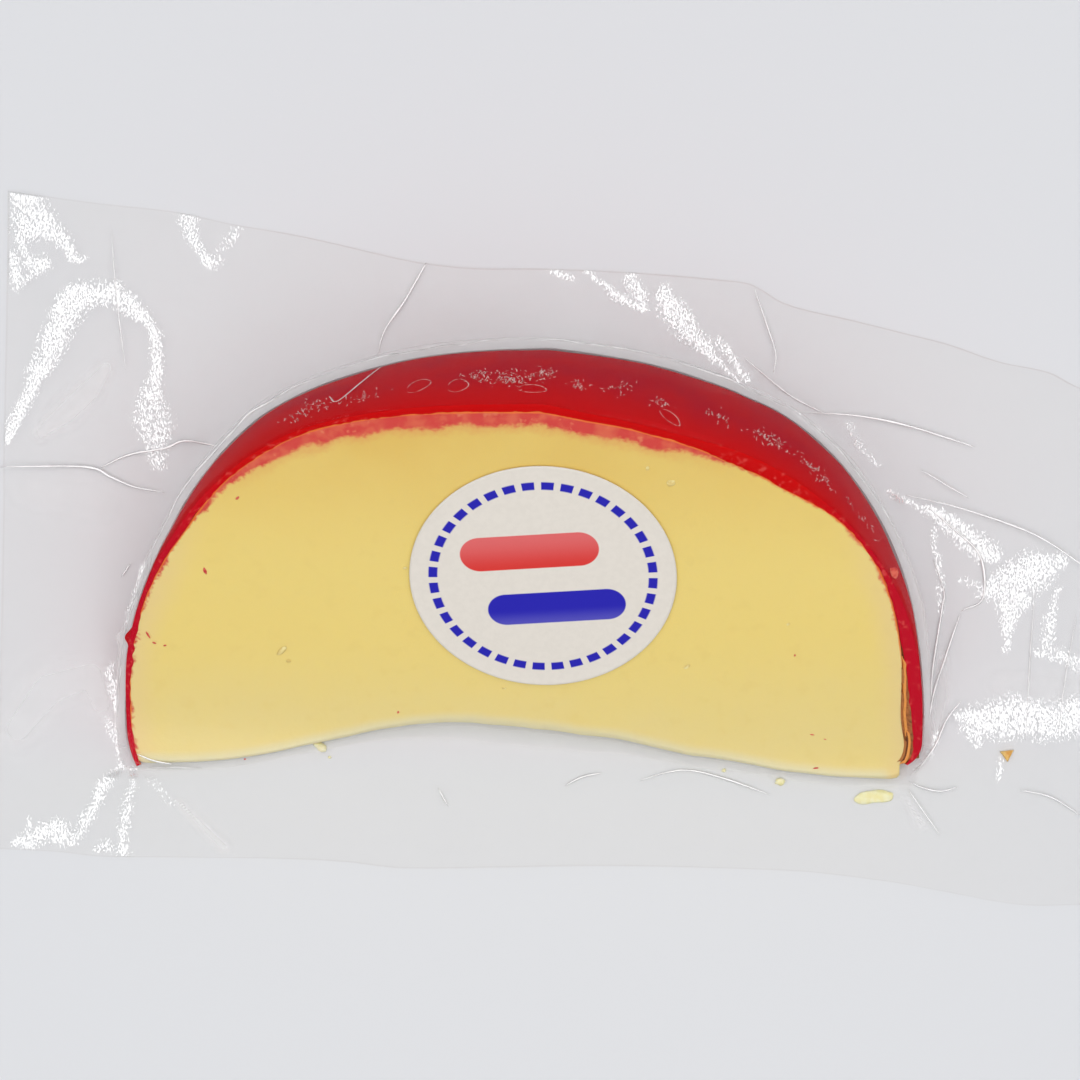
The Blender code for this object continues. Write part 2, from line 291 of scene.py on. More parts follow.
class Nodes:
    """A material's nodes, made by short calls."""

    def __init__(self, name):
        self.material = bpy.data.materials.new(name)
        self.material.use_nodes = True
        self.tree = self.material.node_tree
        self.tree.nodes.clear()
        self.output = self.tree.nodes.new("ShaderNodeOutputMaterial")
        self.place = self.add("ShaderNodeTexCoord").outputs["Object"]

    def add(self, kind, inputs=None, **settings):
        node = self.tree.nodes.new(kind)
        for key, value in settings.items():
            setattr(node, key, value)
        for key, value in (inputs or {}).items():
            if isinstance(value, bpy.types.NodeSocket):
                self.tree.links.new(value, node.inputs[key])
            else:
                node.inputs[key].default_value = value
        return node

    def attribute(self, name):
        return self.add("ShaderNodeAttribute", attribute_name=name).outputs["Fac"]

    def math(self, operation, a, b=0.0, clamp=False):
        node = self.add("ShaderNodeMath", {0: a, 1: b}, operation=operation, use_clamp=clamp)
        return node.outputs[0]

    def noise(self, size, detail=2.0, roughness=0.5, distortion=0.0, place=None):
        """A noise between 0 and 1 whose features are about size metres wide."""
        values = {"Vector": place or self.place, "Scale": 1 / size, "Detail": detail,
                  "Roughness": roughness, "Distortion": distortion}
        return self.add("ShaderNodeTexNoise", values).outputs["Fac"]

    def band(self, value, low, high, start=0.0, end=1.0):
        """A value mapped smoothly from low..high to start..end and held there outside."""
        values = {"Value": value, "From Min": low, "From Max": high, "To Min": start, "To Max": end}
        return self.add("ShaderNodeMapRange", values, interpolation_type="SMOOTHSTEP").outputs["Result"]

    def mix(self, share, first, second):
        node = self.add("ShaderNodeMix", data_type="RGBA")
        for index, value in ((0, share), (6, first), (7, second)):
            if isinstance(value, bpy.types.NodeSocket):
                self.tree.links.new(value, node.inputs[index])
            else:
                node.inputs[index].default_value = value
        return node.outputs[2]

    def scaled(self, x, y, z):
        node = self.add("ShaderNodeMapping", {"Vector": self.place, "Scale": (x, y, z)})
        return node.outputs["Vector"]

    def bump(self, height, distance, strength=1.0, normal=None):
        values = {"Height": height, "Distance": distance, "Strength": strength}
        if normal:
            values["Normal"] = normal
        return self.add("ShaderNodeBump", values).outputs["Normal"]

    def finish(self, shader):
        self.tree.links.new(shader, self.output.inputs["Surface"])
        return self.material


# --- The wedge seen from the hub -----------------------------------------------------------------

BASE = 0.0003
# The wax's free end curls inwards at the right corner, and a little at the left one.
CURL, CURL_REACH, WAX_END = 0.0028, math.radians(3.6), 0.026
CURL_LIMIT = 1.1
LEFT_CURL, LEFT_REACH = 0.0018, math.radians(5.5)
BULGE_Y, BULGE, BULGE_REACH = -0.0167, 0.0012, 0.0013
# Degrees round the hub, then in mm how far the wax lies inside the true ball, its thickness and its
# distance from the paste.
WAX_ROWS = (
    (-40, 0.7, 0.2, 0.5), (-23.6, 0.7, 0.35, 0.6), (-22, 0.7, 1.0, 1.7), (-20, 0.7, 1.8, 2.2),
    (-17, 0.7, 2.6, 2.0), (-12, 0.55, 2.9, 1.1), (-8, 0.4, 2.95, 0.3), (-5, 0.3, 2.9, -0.05),
    (0, 0.1, 2.1, -0.05), (6, 0.1, 1.0, -0.05), (12, 0.05, 0.8, -0.05), (17, 0.1, 1.4, -0.05),
    (23, 0.05, 3.0, -0.05), (30, 0.1, 3.1, -0.05), (36, 0.3, 2.9, -0.05), (42, 0.9, 1.9, -0.05),
    (50, 1.1, 1.5, -0.05), (60, 0.8, 1.3, -0.05), (72, 0.3, 1.5, -0.05), (84, -0.6, 1.5, -0.05),
    (95, -0.2, 1.5, -0.05), (110, 0.2, 1.5, -0.05), (128, 0.5, 1.2, -0.05), (145, 0.1, 1.1, -0.05),
    (158, 1.0, 1.1, -0.05), (168, 1.5, 1.7, -0.05), (178, 0.9, 1.0, -0.05), (188, 0.2, 0.9, -0.05),
    (198, 0.5, 0.9, -0.05), (204, 0.5, 0.7, -0.05), (215, 0.5, 0.7, -0.05),
)


def signed(angles):
    """Angles from -90 to 270 degrees, so that they run on from the right corner to the left one."""
    return (angles + math.pi / 2) % math.tau - math.pi / 2


def place_of(angles, radii):
    return HUB[0] + np.cos(angles) * radii, HUB[1] + np.sin(angles) * radii


def wax_row(angles, column):
    rows, degrees = np.array(WAX_ROWS), np.degrees(signed(angles))
    near = [np.interp(degrees + step, rows[:, 0], rows[:, column]) for step in (-1.2, -0.4, 0.4, 1.2)]
    return np.mean(near, axis=0) * MM


def pulled_in(angles):
    """How far the wax's outside lies inside the true ball."""
    turned = signed(angles)
    right, left = (math.atan2(y - HUB[1], x - HUB[0]) for x, y in (FRONT_RIGHT, FRONT_LEFT))
    pull = wax_row(angles, 1) + CURL * np.clip(1 - (turned - right - WAX_END) / CURL_REACH, 0, CURL_LIMIT) ** 2
    return pull + LEFT_CURL * np.clip(1 - (left % math.tau - turned) / LEFT_REACH, 0, 1.5) ** 2


def bulge_at(x, y):
    """A small lump of wax on the left side and slight waves all round."""
    lump = BULGE * np.exp(-(((y - BULGE_Y) / BULGE_REACH) ** 2)) * (x < BALL_X)
    return lump + 0.00022 * value_noise(x, y, 0.013, 11) + 0.00006 * value_noise(x, y, 0.004, 12)


def ragged_front(x):
    """The front cut with its slight unevenness."""
    rough = 0.00030 * value_noise(x, 0 * x, 0.011, 3) + 0.00010 * value_noise(x, 0 * x, 0.003, 4)
    return front_line(x) + rough


class Around:
    """Radii of the wedge's outside along rays from the hub, at the cut edge and at the table."""

    def __init__(self, angles):
        self.angles = angles
        self.crest = reach(angles, lambda x, y: face_height(x, y) < ball_height(x, y))
        self.foot = reach(angles, lambda x, y: ball_height(x, y) > 1e-6)
        self.pull = pulled_in(angles)
        self.thick = wax_row(angles, 2)
        self.gap = wax_row(angles, 3)
        self.front = reach(angles, lambda x, y: y > ragged_front(x))

    def wall(self, t):
        """Radius and height of the true ball's wall, from the cut edge at 0 to the table at 1."""
        radii = lerp(self.crest, self.foot, math.sin(t * math.pi / 2))
        x, y = place_of(self.angles, radii)
        return radii, np.minimum(ball_height(x, y), face_height(x, y))


# --- Paste ---------------------------------------------------------------------------------------

RAYS = 720
FRONT_ROUND, BACK_ROUND = 0.0014, 0.0001
WALL_STEPS = 18


def make_paste():
    angles = np.arange(RAYS) * math.tau / RAYS
    ring = Around(angles)
    inset = ring.thick + ring.gap + ring.pull
    crest = blur_ring(np.minimum(ring.front, ring.crest - inset), 1)
    foot = blur_ring(np.minimum(ring.front, ring.foot - inset), 1)
    foot = np.maximum(foot, crest + 1e-5)
    front = blur_ring((ring.front < ring.foot - inset).astype(float), 2)
    rounding = lerp(BACK_ROUND, FRONT_ROUND, front)[:, None]

    # Over the cut face: close together near the edge, where the colours change.
    near_edge = np.append(np.linspace(1, 0.12, 20) ** 2 * 0.010, 0)
    inner = np.linspace(0, 1, 36)[:-1]
    radii = np.concatenate(
        [inner[None] * (crest[:, None] - 0.010), crest[:, None] - near_edge[None]], axis=1
    )
    x, y = place_of(angles[:, None], radii)
    z = face_height(x, y)
    z += 0.00010 * value_noise(x, y, 0.016, 5) + 0.00004 * value_noise(x, y, 0.005, 6)
    gap = np.clip(1 - (crest[:, None] - radii) / rounding, 0, 1)
    z -= 0.5 * rounding * gap**2

    # Down the wall and back under the wedge.
    walls = []
    for k in range(1, WALL_STEPS + 1):
        t = k / WALL_STEPS
        ball_radii, ball_z = ring.wall(t)
        radii_here = lerp(ball_radii - inset, lerp(crest, foot, t), front)
        height = lerp(np.minimum(ball_z, z[:, -1]), z[:, -1] * (1 - t), front)
        walls.append((*place_of(angles, radii_here), np.maximum(height, BASE)))
    walls = np.stack([np.stack(w, axis=-1) for w in walls], axis=1)
    under = foot[:, None] * np.linspace(0.99, 0, 9)[None]
    under_x, under_y = place_of(angles[:, None], under)
    grid = np.concatenate(
        [
            np.stack([x, y, z], axis=-1), walls,
            np.stack([under_x, under_y, np.full(under.shape, BASE)], axis=-1),
        ],
        axis=1,
    )
    obj = shell("paste", grid)
    p = points_of(obj)
    rim = np.stack(place_of(angles, crest), axis=-1)
    order = np.roll(np.arange(RAYS), -int(np.argmax(front)))
    back_rim = [tuple(rim[k]) for k in order if front[k] < 0.5][::3]
    front_rim = sorted(tuple(rim[k]) for k in order if front[k] >= 0.5)[::3]
    paint(obj, "to_wax", distance_to_line(p[:, 0], p[:, 1], back_rim)[0])
    paint(obj, "to_front", distance_to_line(p[:, 0], p[:, 1], front_rim)[0])
    obj.data.materials.append(paste_material())
    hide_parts("cheese")
    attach(obj, "root")
    return obj


def paste_material():
    n = Nodes("cheese paste")
    to_wax, to_front = n.attribute("to_wax"), n.attribute("to_front")
    place = n.add("ShaderNodeSeparateXYZ", {0: n.place})
    x, y = place.outputs["X"], place.outputs["Y"]
    broad, fine = n.noise(0.022, 3), n.noise(0.0035, 2)
    # Deeper yellow towards the high back edge, paler and greener towards the front.
    colour = n.mix(n.band(y, -0.038, -0.014), srgb(235, 215, 146), srgb(241, 216, 130))
    colour = n.mix(n.band(y, -0.006, 0.034), colour, srgb(227, 187, 97))
    colour = n.mix(n.band(broad, 0.35, 0.65, 0, 0.3), colour, srgb(240, 216, 130))
    colour = n.mix(n.band(fine, 0.55, 0.75, 0, 0.15), colour, srgb(228, 200, 118))
    # Drier and paler towards the wax at the sides. Pale at the thin front edge: painted light, the table's light
    # showing through the thin paste.
    sides = n.band(n.math("ABSOLUTE", n.math("ADD", x, 0.008)), 0.055, 0.072)
    dry = n.math("MULTIPLY", n.band(n.math("ADD", to_wax, n.math("MULTIPLY", broad, 0.007)), 0.010, 0.004), sides)
    colour = n.mix(n.math("MULTIPLY", dry, 0.7), colour, srgb(236, 210, 150))
    colour = n.mix(n.band(to_front, 0.0026, 0.0002, 0, 0.75), colour, srgb(228, 222, 190))
    # Wax dragged over the edge by the knife: a band in the middle, only a trace further out.
    scallop = n.math("MULTIPLY", n.math("SUBTRACT", n.noise(0.0050, 1), 0.5), 0.0026)
    fuzz = n.math("MULTIPLY", n.math("SUBTRACT", n.noise(0.0009, 2), 0.5), 0.0014)
    left = n.band(x, -0.060, -0.074)
    gap = n.math("MULTIPLY", n.band(x, 0.050, 0.055), n.band(y, -0.018, -0.024))
    rough = n.math("MULTIPLY", fuzz, n.math("ADD", n.math("MULTIPLY", left, 0.7), 1.0))
    ragged = n.math("ADD", to_wax, n.math("ADD", scallop, rough))
    along = n.math("MULTIPLY", n.band(x, -0.067, -0.048), n.band(x, 0.033, 0.013))
    sparse = n.math("MULTIPLY", n.band(x, -0.072, -0.062), n.band(x, 0.034, 0.020))
    width = n.math("ADD", n.math("MULTIPLY", sparse, 0.0004), n.math("MULTIPLY", left, 0.0002))
    width = n.math("ADD", n.math("MULTIPLY", along, 0.0020), width)
    inside = n.math("SUBTRACT", n.math("SUBTRACT", width, n.math("MULTIPLY", gap, 0.004)), ragged)
    deep = n.band(n.noise(0.0030, 2), 0.32, 0.62)
    pink = n.mix(deep, srgb(226, 100, 80), srgb(217, 62, 66))
    pink = n.mix(n.band(n.noise(0.0016, 2), 0.60, 0.74, 0, 0.5), pink, srgb(234, 146, 106))
    pink = n.mix(n.math("MULTIPLY", left, 0.7), pink, srgb(208, 48, 52))
    halo = n.band(inside, -0.0022, 0.0002, 0, 0.65)
    colour = n.mix(n.math("MULTIPLY", halo, along), colour, srgb(228, 160, 96))
    colour = n.mix(n.band(inside, -0.0006, 0.0004, 0, 0.95), colour, pink)
    edge_line = n.math("ADD", to_wax, n.math("MULTIPLY", fuzz, 0.20))
    trace = n.math("SUBTRACT", n.band(edge_line, 0.00034, 0.00014, 0, 0.85), gap, clamp=True)
    colour = n.mix(trace, colour, srgb(238, 122, 52))
    grain = n.math("ADD", n.noise(0.0012, 2), fine)
    shader = n.add(
        "ShaderNodeBsdfPrincipled",
        {
            "Base Color": colour,
            "Roughness": 0.55,
            "Subsurface Weight": 0.2,
            "Subsurface Radius": (1.0, 0.8, 0.4),
            "Subsurface Scale": 0.0015,
            "Specular IOR Level": 0.10,
            "Normal": n.bump(grain, 0.00005),
        },
    )
    return n.finish(shader.outputs[0])


# --- Wax -----------------------------------------------------------------------------------------

WAX_RAYS, WAX_WALL = 980, 30
# The cut edge: shares of the way in from the outside, and how far each drops below the cut face.
CUT_EDGE = (
    (0.0, 0.30), (0.03, 0.12), (0.08, 0.03), (0.18, -0.02), (0.36, -0.03), (0.55, 0.01),
    (0.74, -0.02), (0.90, -0.01), (0.97, 0.03), (1.0, 0.10),
)


def make_wax():
    corner = [math.atan2(y - HUB[1], x - HUB[0]) for x, y in (FRONT_RIGHT, FRONT_LEFT)]
    angles = np.linspace(corner[0] + WAX_END, corner[1] % math.tau + 0.004, WAX_RAYS)
    ring = Around(angles)
    wave = value_noise(angles * 0.075, 0 * angles, 0.0045, 13) * 0.00018
    wave += value_noise(angles * 0.075, 0 * angles, 0.0012, 14) * 0.00014
    left = ease((angles - 3.0) / 0.3)
    wave = lerp(wave, 1.5 * wave - 0.0003, left)
    outer = ring.crest - ring.pull
    inner = outer - ring.thick + wave
    # Up the outside from the table to the cut, over the cut edge, and down the inside.
    loops = []
    for k in range(WAX_WALL):
        radii, height = ring.wall(1 - k / WAX_WALL)
        x, y = place_of(angles, radii)
        pushed = bulge_at(x, y) * min(1, (WAX_WALL - k) / 8)
        loops.append((radii - ring.pull + pushed, height, 0))
    for share, drop in CUT_EDGE:
        radii = lerp(outer, inner, share)
        loops.append((radii, face_height(*place_of(angles, radii)) - drop * MM, 1))
    for k in range(1, WALL_STEPS + 1):
        radii, height = ring.wall(k / WALL_STEPS)
        radii = radii - ring.pull - ring.thick + wave
        roof = face_height(*place_of(angles, radii)) - CUT_EDGE[-1][1] * MM
        loops.append((radii, np.minimum(height, roof), 2))
    foot = ring.foot - ring.pull
    loops.append((foot - ring.thick * 0.5, 0 * angles, 2))
    radii = np.stack([loop[0] for loop in loops], axis=1)
    z = np.maximum(np.stack([loop[1] for loop in loops], axis=1), BASE)
    x, y = place_of(angles[:, None], radii)
    obj = bar("wax", np.stack([x, y, z], axis=-1))
    side = np.repeat([[loop[2] for loop in loops]], len(angles), axis=0)
    outside = side == 0
    paint(obj, "cut", np.append((side == 1).ravel(), [1, 1]))
    paint(obj, "inside", np.append((side == 2).ravel(), [0, 0]))
    paint(obj, "from_cut", np.append(np.where(outside, radii - outer[:, None], 0).ravel(), [0, 0]))
    obj.data.materials.append(wax_material())
    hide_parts("wax_coat")
    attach(obj, "root")
    return obj


def wax_material():
    n = Nodes("red cheese wax")
    cut, inside, from_cut = n.attribute("cut"), n.attribute("inside"), n.attribute("from_cut")
    x = n.add("ShaderNodeSeparateXYZ", {0: n.place}).outputs["X"]
    cloudy = n.noise(0.009, 2)
    deep = n.mix(n.band(cloudy, 0.35, 0.65), srgb(186, 20, 38), srgb(196, 22, 34))
    # Painted light: the outside is a clearer, brighter red near the cut edge, where it faces up, and a deeper red
    # further down.
    colour = n.mix(n.band(from_cut, 0.0080, 0.0004), deep, srgb(208, 14, 20))
    # The cut edge is bright at the back and darker round the sides. Round the sides the outside is duller and pinker,
    # a painted sheen.
    sides = n.band(n.math("ABSOLUTE", n.math("ADD", x, 0.008)), 0.050, 0.072)
    colour = n.mix(n.math("MULTIPLY", sides, n.band(cloudy, 0.35, 0.6, 0.3, 0.8)), colour, srgb(200, 46, 54))
    edge = n.mix(sides, srgb(204, 10, 12), srgb(194, 18, 40))
    streaks = n.math("MULTIPLY", n.band(n.noise(0.0011, 2), 0.55, 0.72, 0, 0.5), cut)
    streaks = n.math("MULTIPLY", streaks, n.band(n.math("ABSOLUTE", n.math("ADD", x, 0.006)), 0.020, 0.040))
    colour = n.mix(cut, colour, edge)
    colour = n.mix(streaks, colour, srgb(226, 92, 84))
    colour = n.mix(inside, colour, srgb(232, 120, 52))
    grain = n.noise(0.0060, 2)
    shader = n.add(
        "ShaderNodeBsdfPrincipled",
        {
            "Base Color": colour,
            "Roughness": 0.4,
            "Specular IOR Level": 0.0,
            "Subsurface Weight": 0.1,
            "Subsurface Radius": (1.0, 0.08, 0.05),
            "Subsurface Scale": 0.0010,
            "Normal": n.bump(grain, 0.00008),
        },
    )
    return n.finish(shader.outputs[0])


# --- Bits between wax and paste, on the cut face and in the pouch -----------------------------------

# Strips of brown rind in the gap: start and end in degrees round the hub, how far out from the
# paste at both ends and how thick in mm, and how orange.
RIND_STRIPS = (
    (-23.4, -5.4, -0.40, -0.30, 3.60, 0.0),
    (-12.4, -10.0, -0.15, -0.15, 0.80, 0.45), (-19.4, -13.3, -0.10, -0.10, 0.75, 0.1),
    (-19.6, -8.2, 0.45, 0.05, 0.95, 0.95), (-18.2, -15.2, 0.75, 0.60, 0.18, -0.3),
    (-23.6, -18.6, 0.05, 0.95, 0.80, 1.0), (-23.2, -19.2, -0.10, 0.55, 0.60, -0.2),
    (-23.4, -20.0, -0.65, -0.10, 0.80, 0.35),
)
# Flecks of wax on the cut face, in mm: x, y, length, width, degrees.
FLECKS = (
    (-79.5, -16.3, 1.5, 0.35, -60), (-78.4, -17.9, 0.8, 0.3, -20), (-76.4, -18.4, 0.6, 0.3, 10),
    (-61.1, 9.4, 0.9, 0.45, 40), (-67.9, -4.1, 1.3, 0.6, -70), (60.9, -4.4, 2.2, 1.3, -60),
    (43.1, -20.2, 0.5, 0.35, 80), (47.1, -35.7, 0.9, 0.25, -10), (49.6, -36.6, 0.6, 0.2, -15),
    (48.1, -42.3, 1.1, 0.3, 5), (-62.0, -40.6, 0.4, 0.3, 0), (-32.3, -31.4, 0.5, 0.4, 60),
)
# Small lifted nicks of the cut face, in the same way. Their paler tone is partly their own and partly a painted
# highlight.
NICKS = (
    (18.9, 12.1, 1.6, 1.1, 10), (14.6, 14.8, 0.9, 0.6, 70), (-54.2, -19.4, 2.2, 1.0, 40), (-53.0, -21.4, 1.0, 0.6, 0),
    (-30.4, -3.6, 0.8, 0.5, 20), (41.6, -14.2, 0.7, 0.5, 60), (-12.0, -26.6, 0.8, 0.4, 0), (22.8, -22.4, 1.4, 0.6, 30),
)
# Crumbs in the pouch, in mm: x, y, length, width, height, degrees.
CRUMBS = (
    (-47.6, -38.3, 3.4, 1.5, 1.1, -35), (41.3, -45.1, 1.9, 1.5, 0.9, 0), (59.8, -48.0, 7.2, 2.6, 0.6, 8),
    (30.5, -42.9, 0.9, 0.7, 0.5, 20), (-45.8, -40.4, 0.6, 0.5, 0.4, 0),
)
AMBER_CRUMB = (85.3, -39.8, 3.6, 3.0, 0.9, 35)


def join(name, pieces):
    """One object from several bodies, each a tuple of points and faces."""
    points, faces, start = [], [], 0
    for some_points, some_faces in pieces:
        points.append(some_points)
        faces.extend(tuple(k + start for k in face) for face in some_faces)
        start += len(some_points)
    return new_object(name, np.concatenate(points), faces)


def pebble(long, wide, high, seed, rays=28, stations=14, flat=0.35):
    """A small irregular lump, flatter below, as points and faces round its own origin."""
    around = np.arange(rays) / rays * math.tau
    down = np.linspace(0, math.pi, stations)
    a, d = np.meshgrid(around, down, indexing="ij")
    uneven = 1 + 0.22 * value_noise(np.cos(a) * 1.3 + seed, np.sin(a) * 1.3 + d, 0.8, seed)
    side = np.sin(d) ** 0.8 * uneven
    z = np.cos(d) * np.where(np.cos(d) < 0, flat, 1.0) * (0.85 + 0.15 * uneven)
    grid = np.stack([side * np.cos(a) * long / 2, side * np.sin(a) * wide / 2, z * high], axis=-1)
    return shell_parts(grid)


def turned(points, degrees):
    c, s = math.cos(math.radians(degrees)), math.sin(math.radians(degrees))
    x, y, z = points.T
    return np.stack([x * c - y * s, x * s + y * c, z], axis=-1)


def make_rind():
    pieces, tones = [], []
    for start, end, out_start, out_end, thick, tone in RIND_STRIPS:
        angles = np.radians(np.linspace(start, end, 34))
        ring = Around(angles)
        inner = ring.crest - ring.pull - ring.thick - ring.gap + np.linspace(out_start, out_end, 34) * MM
        inner += 0.00008 * value_noise(angles * 0.08, 0 * angles, 0.0012, 41)
        taper = np.clip(np.minimum(np.arange(34), np.arange(34)[::-1]) / 3, 0.3, 1)
        x, y = place_of(angles, inner)
        top = face_height(x, y) + (-0.00045 if thick > 3 else 0.00006 + 0.00006 * tone)
        top += 0.00008 * value_noise(angles * 0.08, 0 * angles, 0.0015, 42)
        loops = []
        for share_out, share_up in ((0, 0), (1, 0), (1, 0.9), (0.7, 1), (0.3, 1), (0, 0.9)):
            radii = inner + share_out * thick * MM * taper
            px, py = place_of(angles, radii)
            loops.append(np.stack([px, py, lerp(0.0012 + 0 * top, top, share_up)], axis=-1))
        pieces.append(bar_parts(np.stack(loops, axis=1)))
        tones.append(np.full(len(pieces[-1][0]), max(tone, 0.0) - (tone < 0) * 0.3))
    obj = join("rind_strips", pieces)
    paint(obj, "tone", np.concatenate(tones))
    n = Nodes("brown rind")
    layers = n.noise(0.0010, 3, place=n.scaled(1, 0.4, 3))
    tone = n.math("ADD", n.attribute("tone"), n.math("MULTIPLY", n.math("SUBTRACT", layers, 0.5), 0.9))
    colour = n.mix(n.band(tone, -0.25, 0.15), srgb(112, 62, 34), srgb(178, 112, 62))
    colour = n.mix(n.band(tone, 0.3, 1.0), colour, srgb(240, 160, 82))
    shader = n.add(
        "ShaderNodeBsdfPrincipled",
        {"Base Color": colour, "Roughness": 0.45, "Specular IOR Level": 0.2, "Normal": n.bump(layers, 0.00010)},
    )
    obj.data.materials.append(n.finish(shader.outputs[0]))
    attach(obj, "root")
    return obj


def make_flecks():
    for name, rows, slot, first, second in (
        ("wax_flecks", FLECKS, "red_wax", srgb(206, 52, 50), srgb(226, 108, 84)),
        # The nicks' pale tone is partly a painted highlight.
        ("paste_nicks", NICKS, "cheese_paste", srgb(226, 196, 116), srgb(244, 228, 160)),
    ):
        pieces = []
        for k, (x, y, long, wide, degrees) in enumerate(rows):
            points, faces = pebble(long * MM, wide * MM, 0.00012, 50 + k, 18, 8)
            points = turned(points, degrees) + np.array((x * MM, y * MM, 0))
            points[:, 2] += face_height(points[:, 0], points[:, 1]) + 0.00004
            pieces.append((points, faces))
        obj = join(name, pieces)
        n = Nodes(name)
        colour = n.mix(n.band(n.noise(0.0008, 2), 0.35, 0.65), first, second)
        shader = n.add("ShaderNodeBsdfPrincipled", {"Base Color": colour, "Roughness": 0.45})
        obj.data.materials.append(n.finish(shader.outputs[0]))
        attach(obj, "root")


def make_crumbs():
    made = []
    for name, rows, pale, deep in (
        ("crumbs", CRUMBS, srgb(244, 239, 198), srgb(238, 228, 168)),
        ("amber_crumb", (AMBER_CRUMB,), srgb(236, 196, 112), srgb(214, 152, 52)),
    ):
        pieces = []
        for k, (x, y, long, wide, high, degrees) in enumerate(rows):
            corners = (28, 14) if name == "crumbs" else (3, 9)
            points, faces = pebble(long * MM, wide * MM, high * MM * 0.72, 70 + k, *corners)
            points = turned(points, degrees)
            points += np.array((x * MM, y * MM, 0.00012 - points[:, 2].min()))
            pieces.append((points, faces))
        obj = join(name, pieces)
        n = Nodes(name + " paste")
        mottle = n.noise(0.0012, 3)
        shader = n.add(
            "ShaderNodeBsdfPrincipled",
            {"Base Color": n.mix(n.band(mottle, 0.35, 0.65), deep, pale), "Roughness": 0.5,
             "Subsurface Weight": 0.3, "Subsurface Radius": (1.0, 0.8, 0.4), "Subsurface Scale": 0.001,
             "Normal": n.bump(mottle, 0.0002)},
        )
        obj.data.materials.append(n.finish(shader.outputs[0]))
        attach(obj, "root")
        made.append(obj)
    return made


# --- Film ----------------------------------------------------------------------------------------

LIFT = 0.00030
FLAT = 0.00045
COLLAR, COLLAR_HEIGHT, COLLAR_BEND = 0.0021, 0.0026, 1.7
FRONT_COLLAR = 0.0030
FOLD_EASE, FOLD_HEIGHT = 0.005, 0.4
# Painted light: pale white that lifts the shade behind the wedge and on the film's collar round it.
BACK_PAINTED_FILL, COLLAR_PAINTED_FILL = 0.42, 1.15
FILM_RAYS, UNDER_STEPS = 720, 9

# Broad folds that stand up from the margin, in mm: start, end, half width, height.
FOLDS = (
    (-107.5, 68.0, -90.0, 52.0, 6, 2.2), (-108.0, 20.0, -96.0, 47.0, 8, 2.6),
    (-96.0, 47.0, -80.0, 44.0, 8, 2.6), (-79.0, 40.0, -76.5, 23.0, 6, 2.2),
    (-110.0, 15.6, -80.0, 11.0, 4, 1.0), (-86.0, -43.0, -96.0, -58.0, 6, 1.6),
    (-85.0, -44.0, -68.0, -60.0, 6, 1.2), (-27.0, 55.0, -36.0, 40.0, 5, 1.0),
    (6.0, 53.0, 23.0, 42.0, 5, 1.5), (36.0, 50.0, 41.0, 34.0, 5, 1.4),
    (50.0, 27.0, 80.0, 20.0, 6, 1.4), (68.0, 10.0, 100.0, -3.0, 6, 2.4),
    (73.0, -30.0, 110.0, -39.0, 9, 3.0), (66.0, -46.0, 90.0, -66.0, 7, 1.4),
)
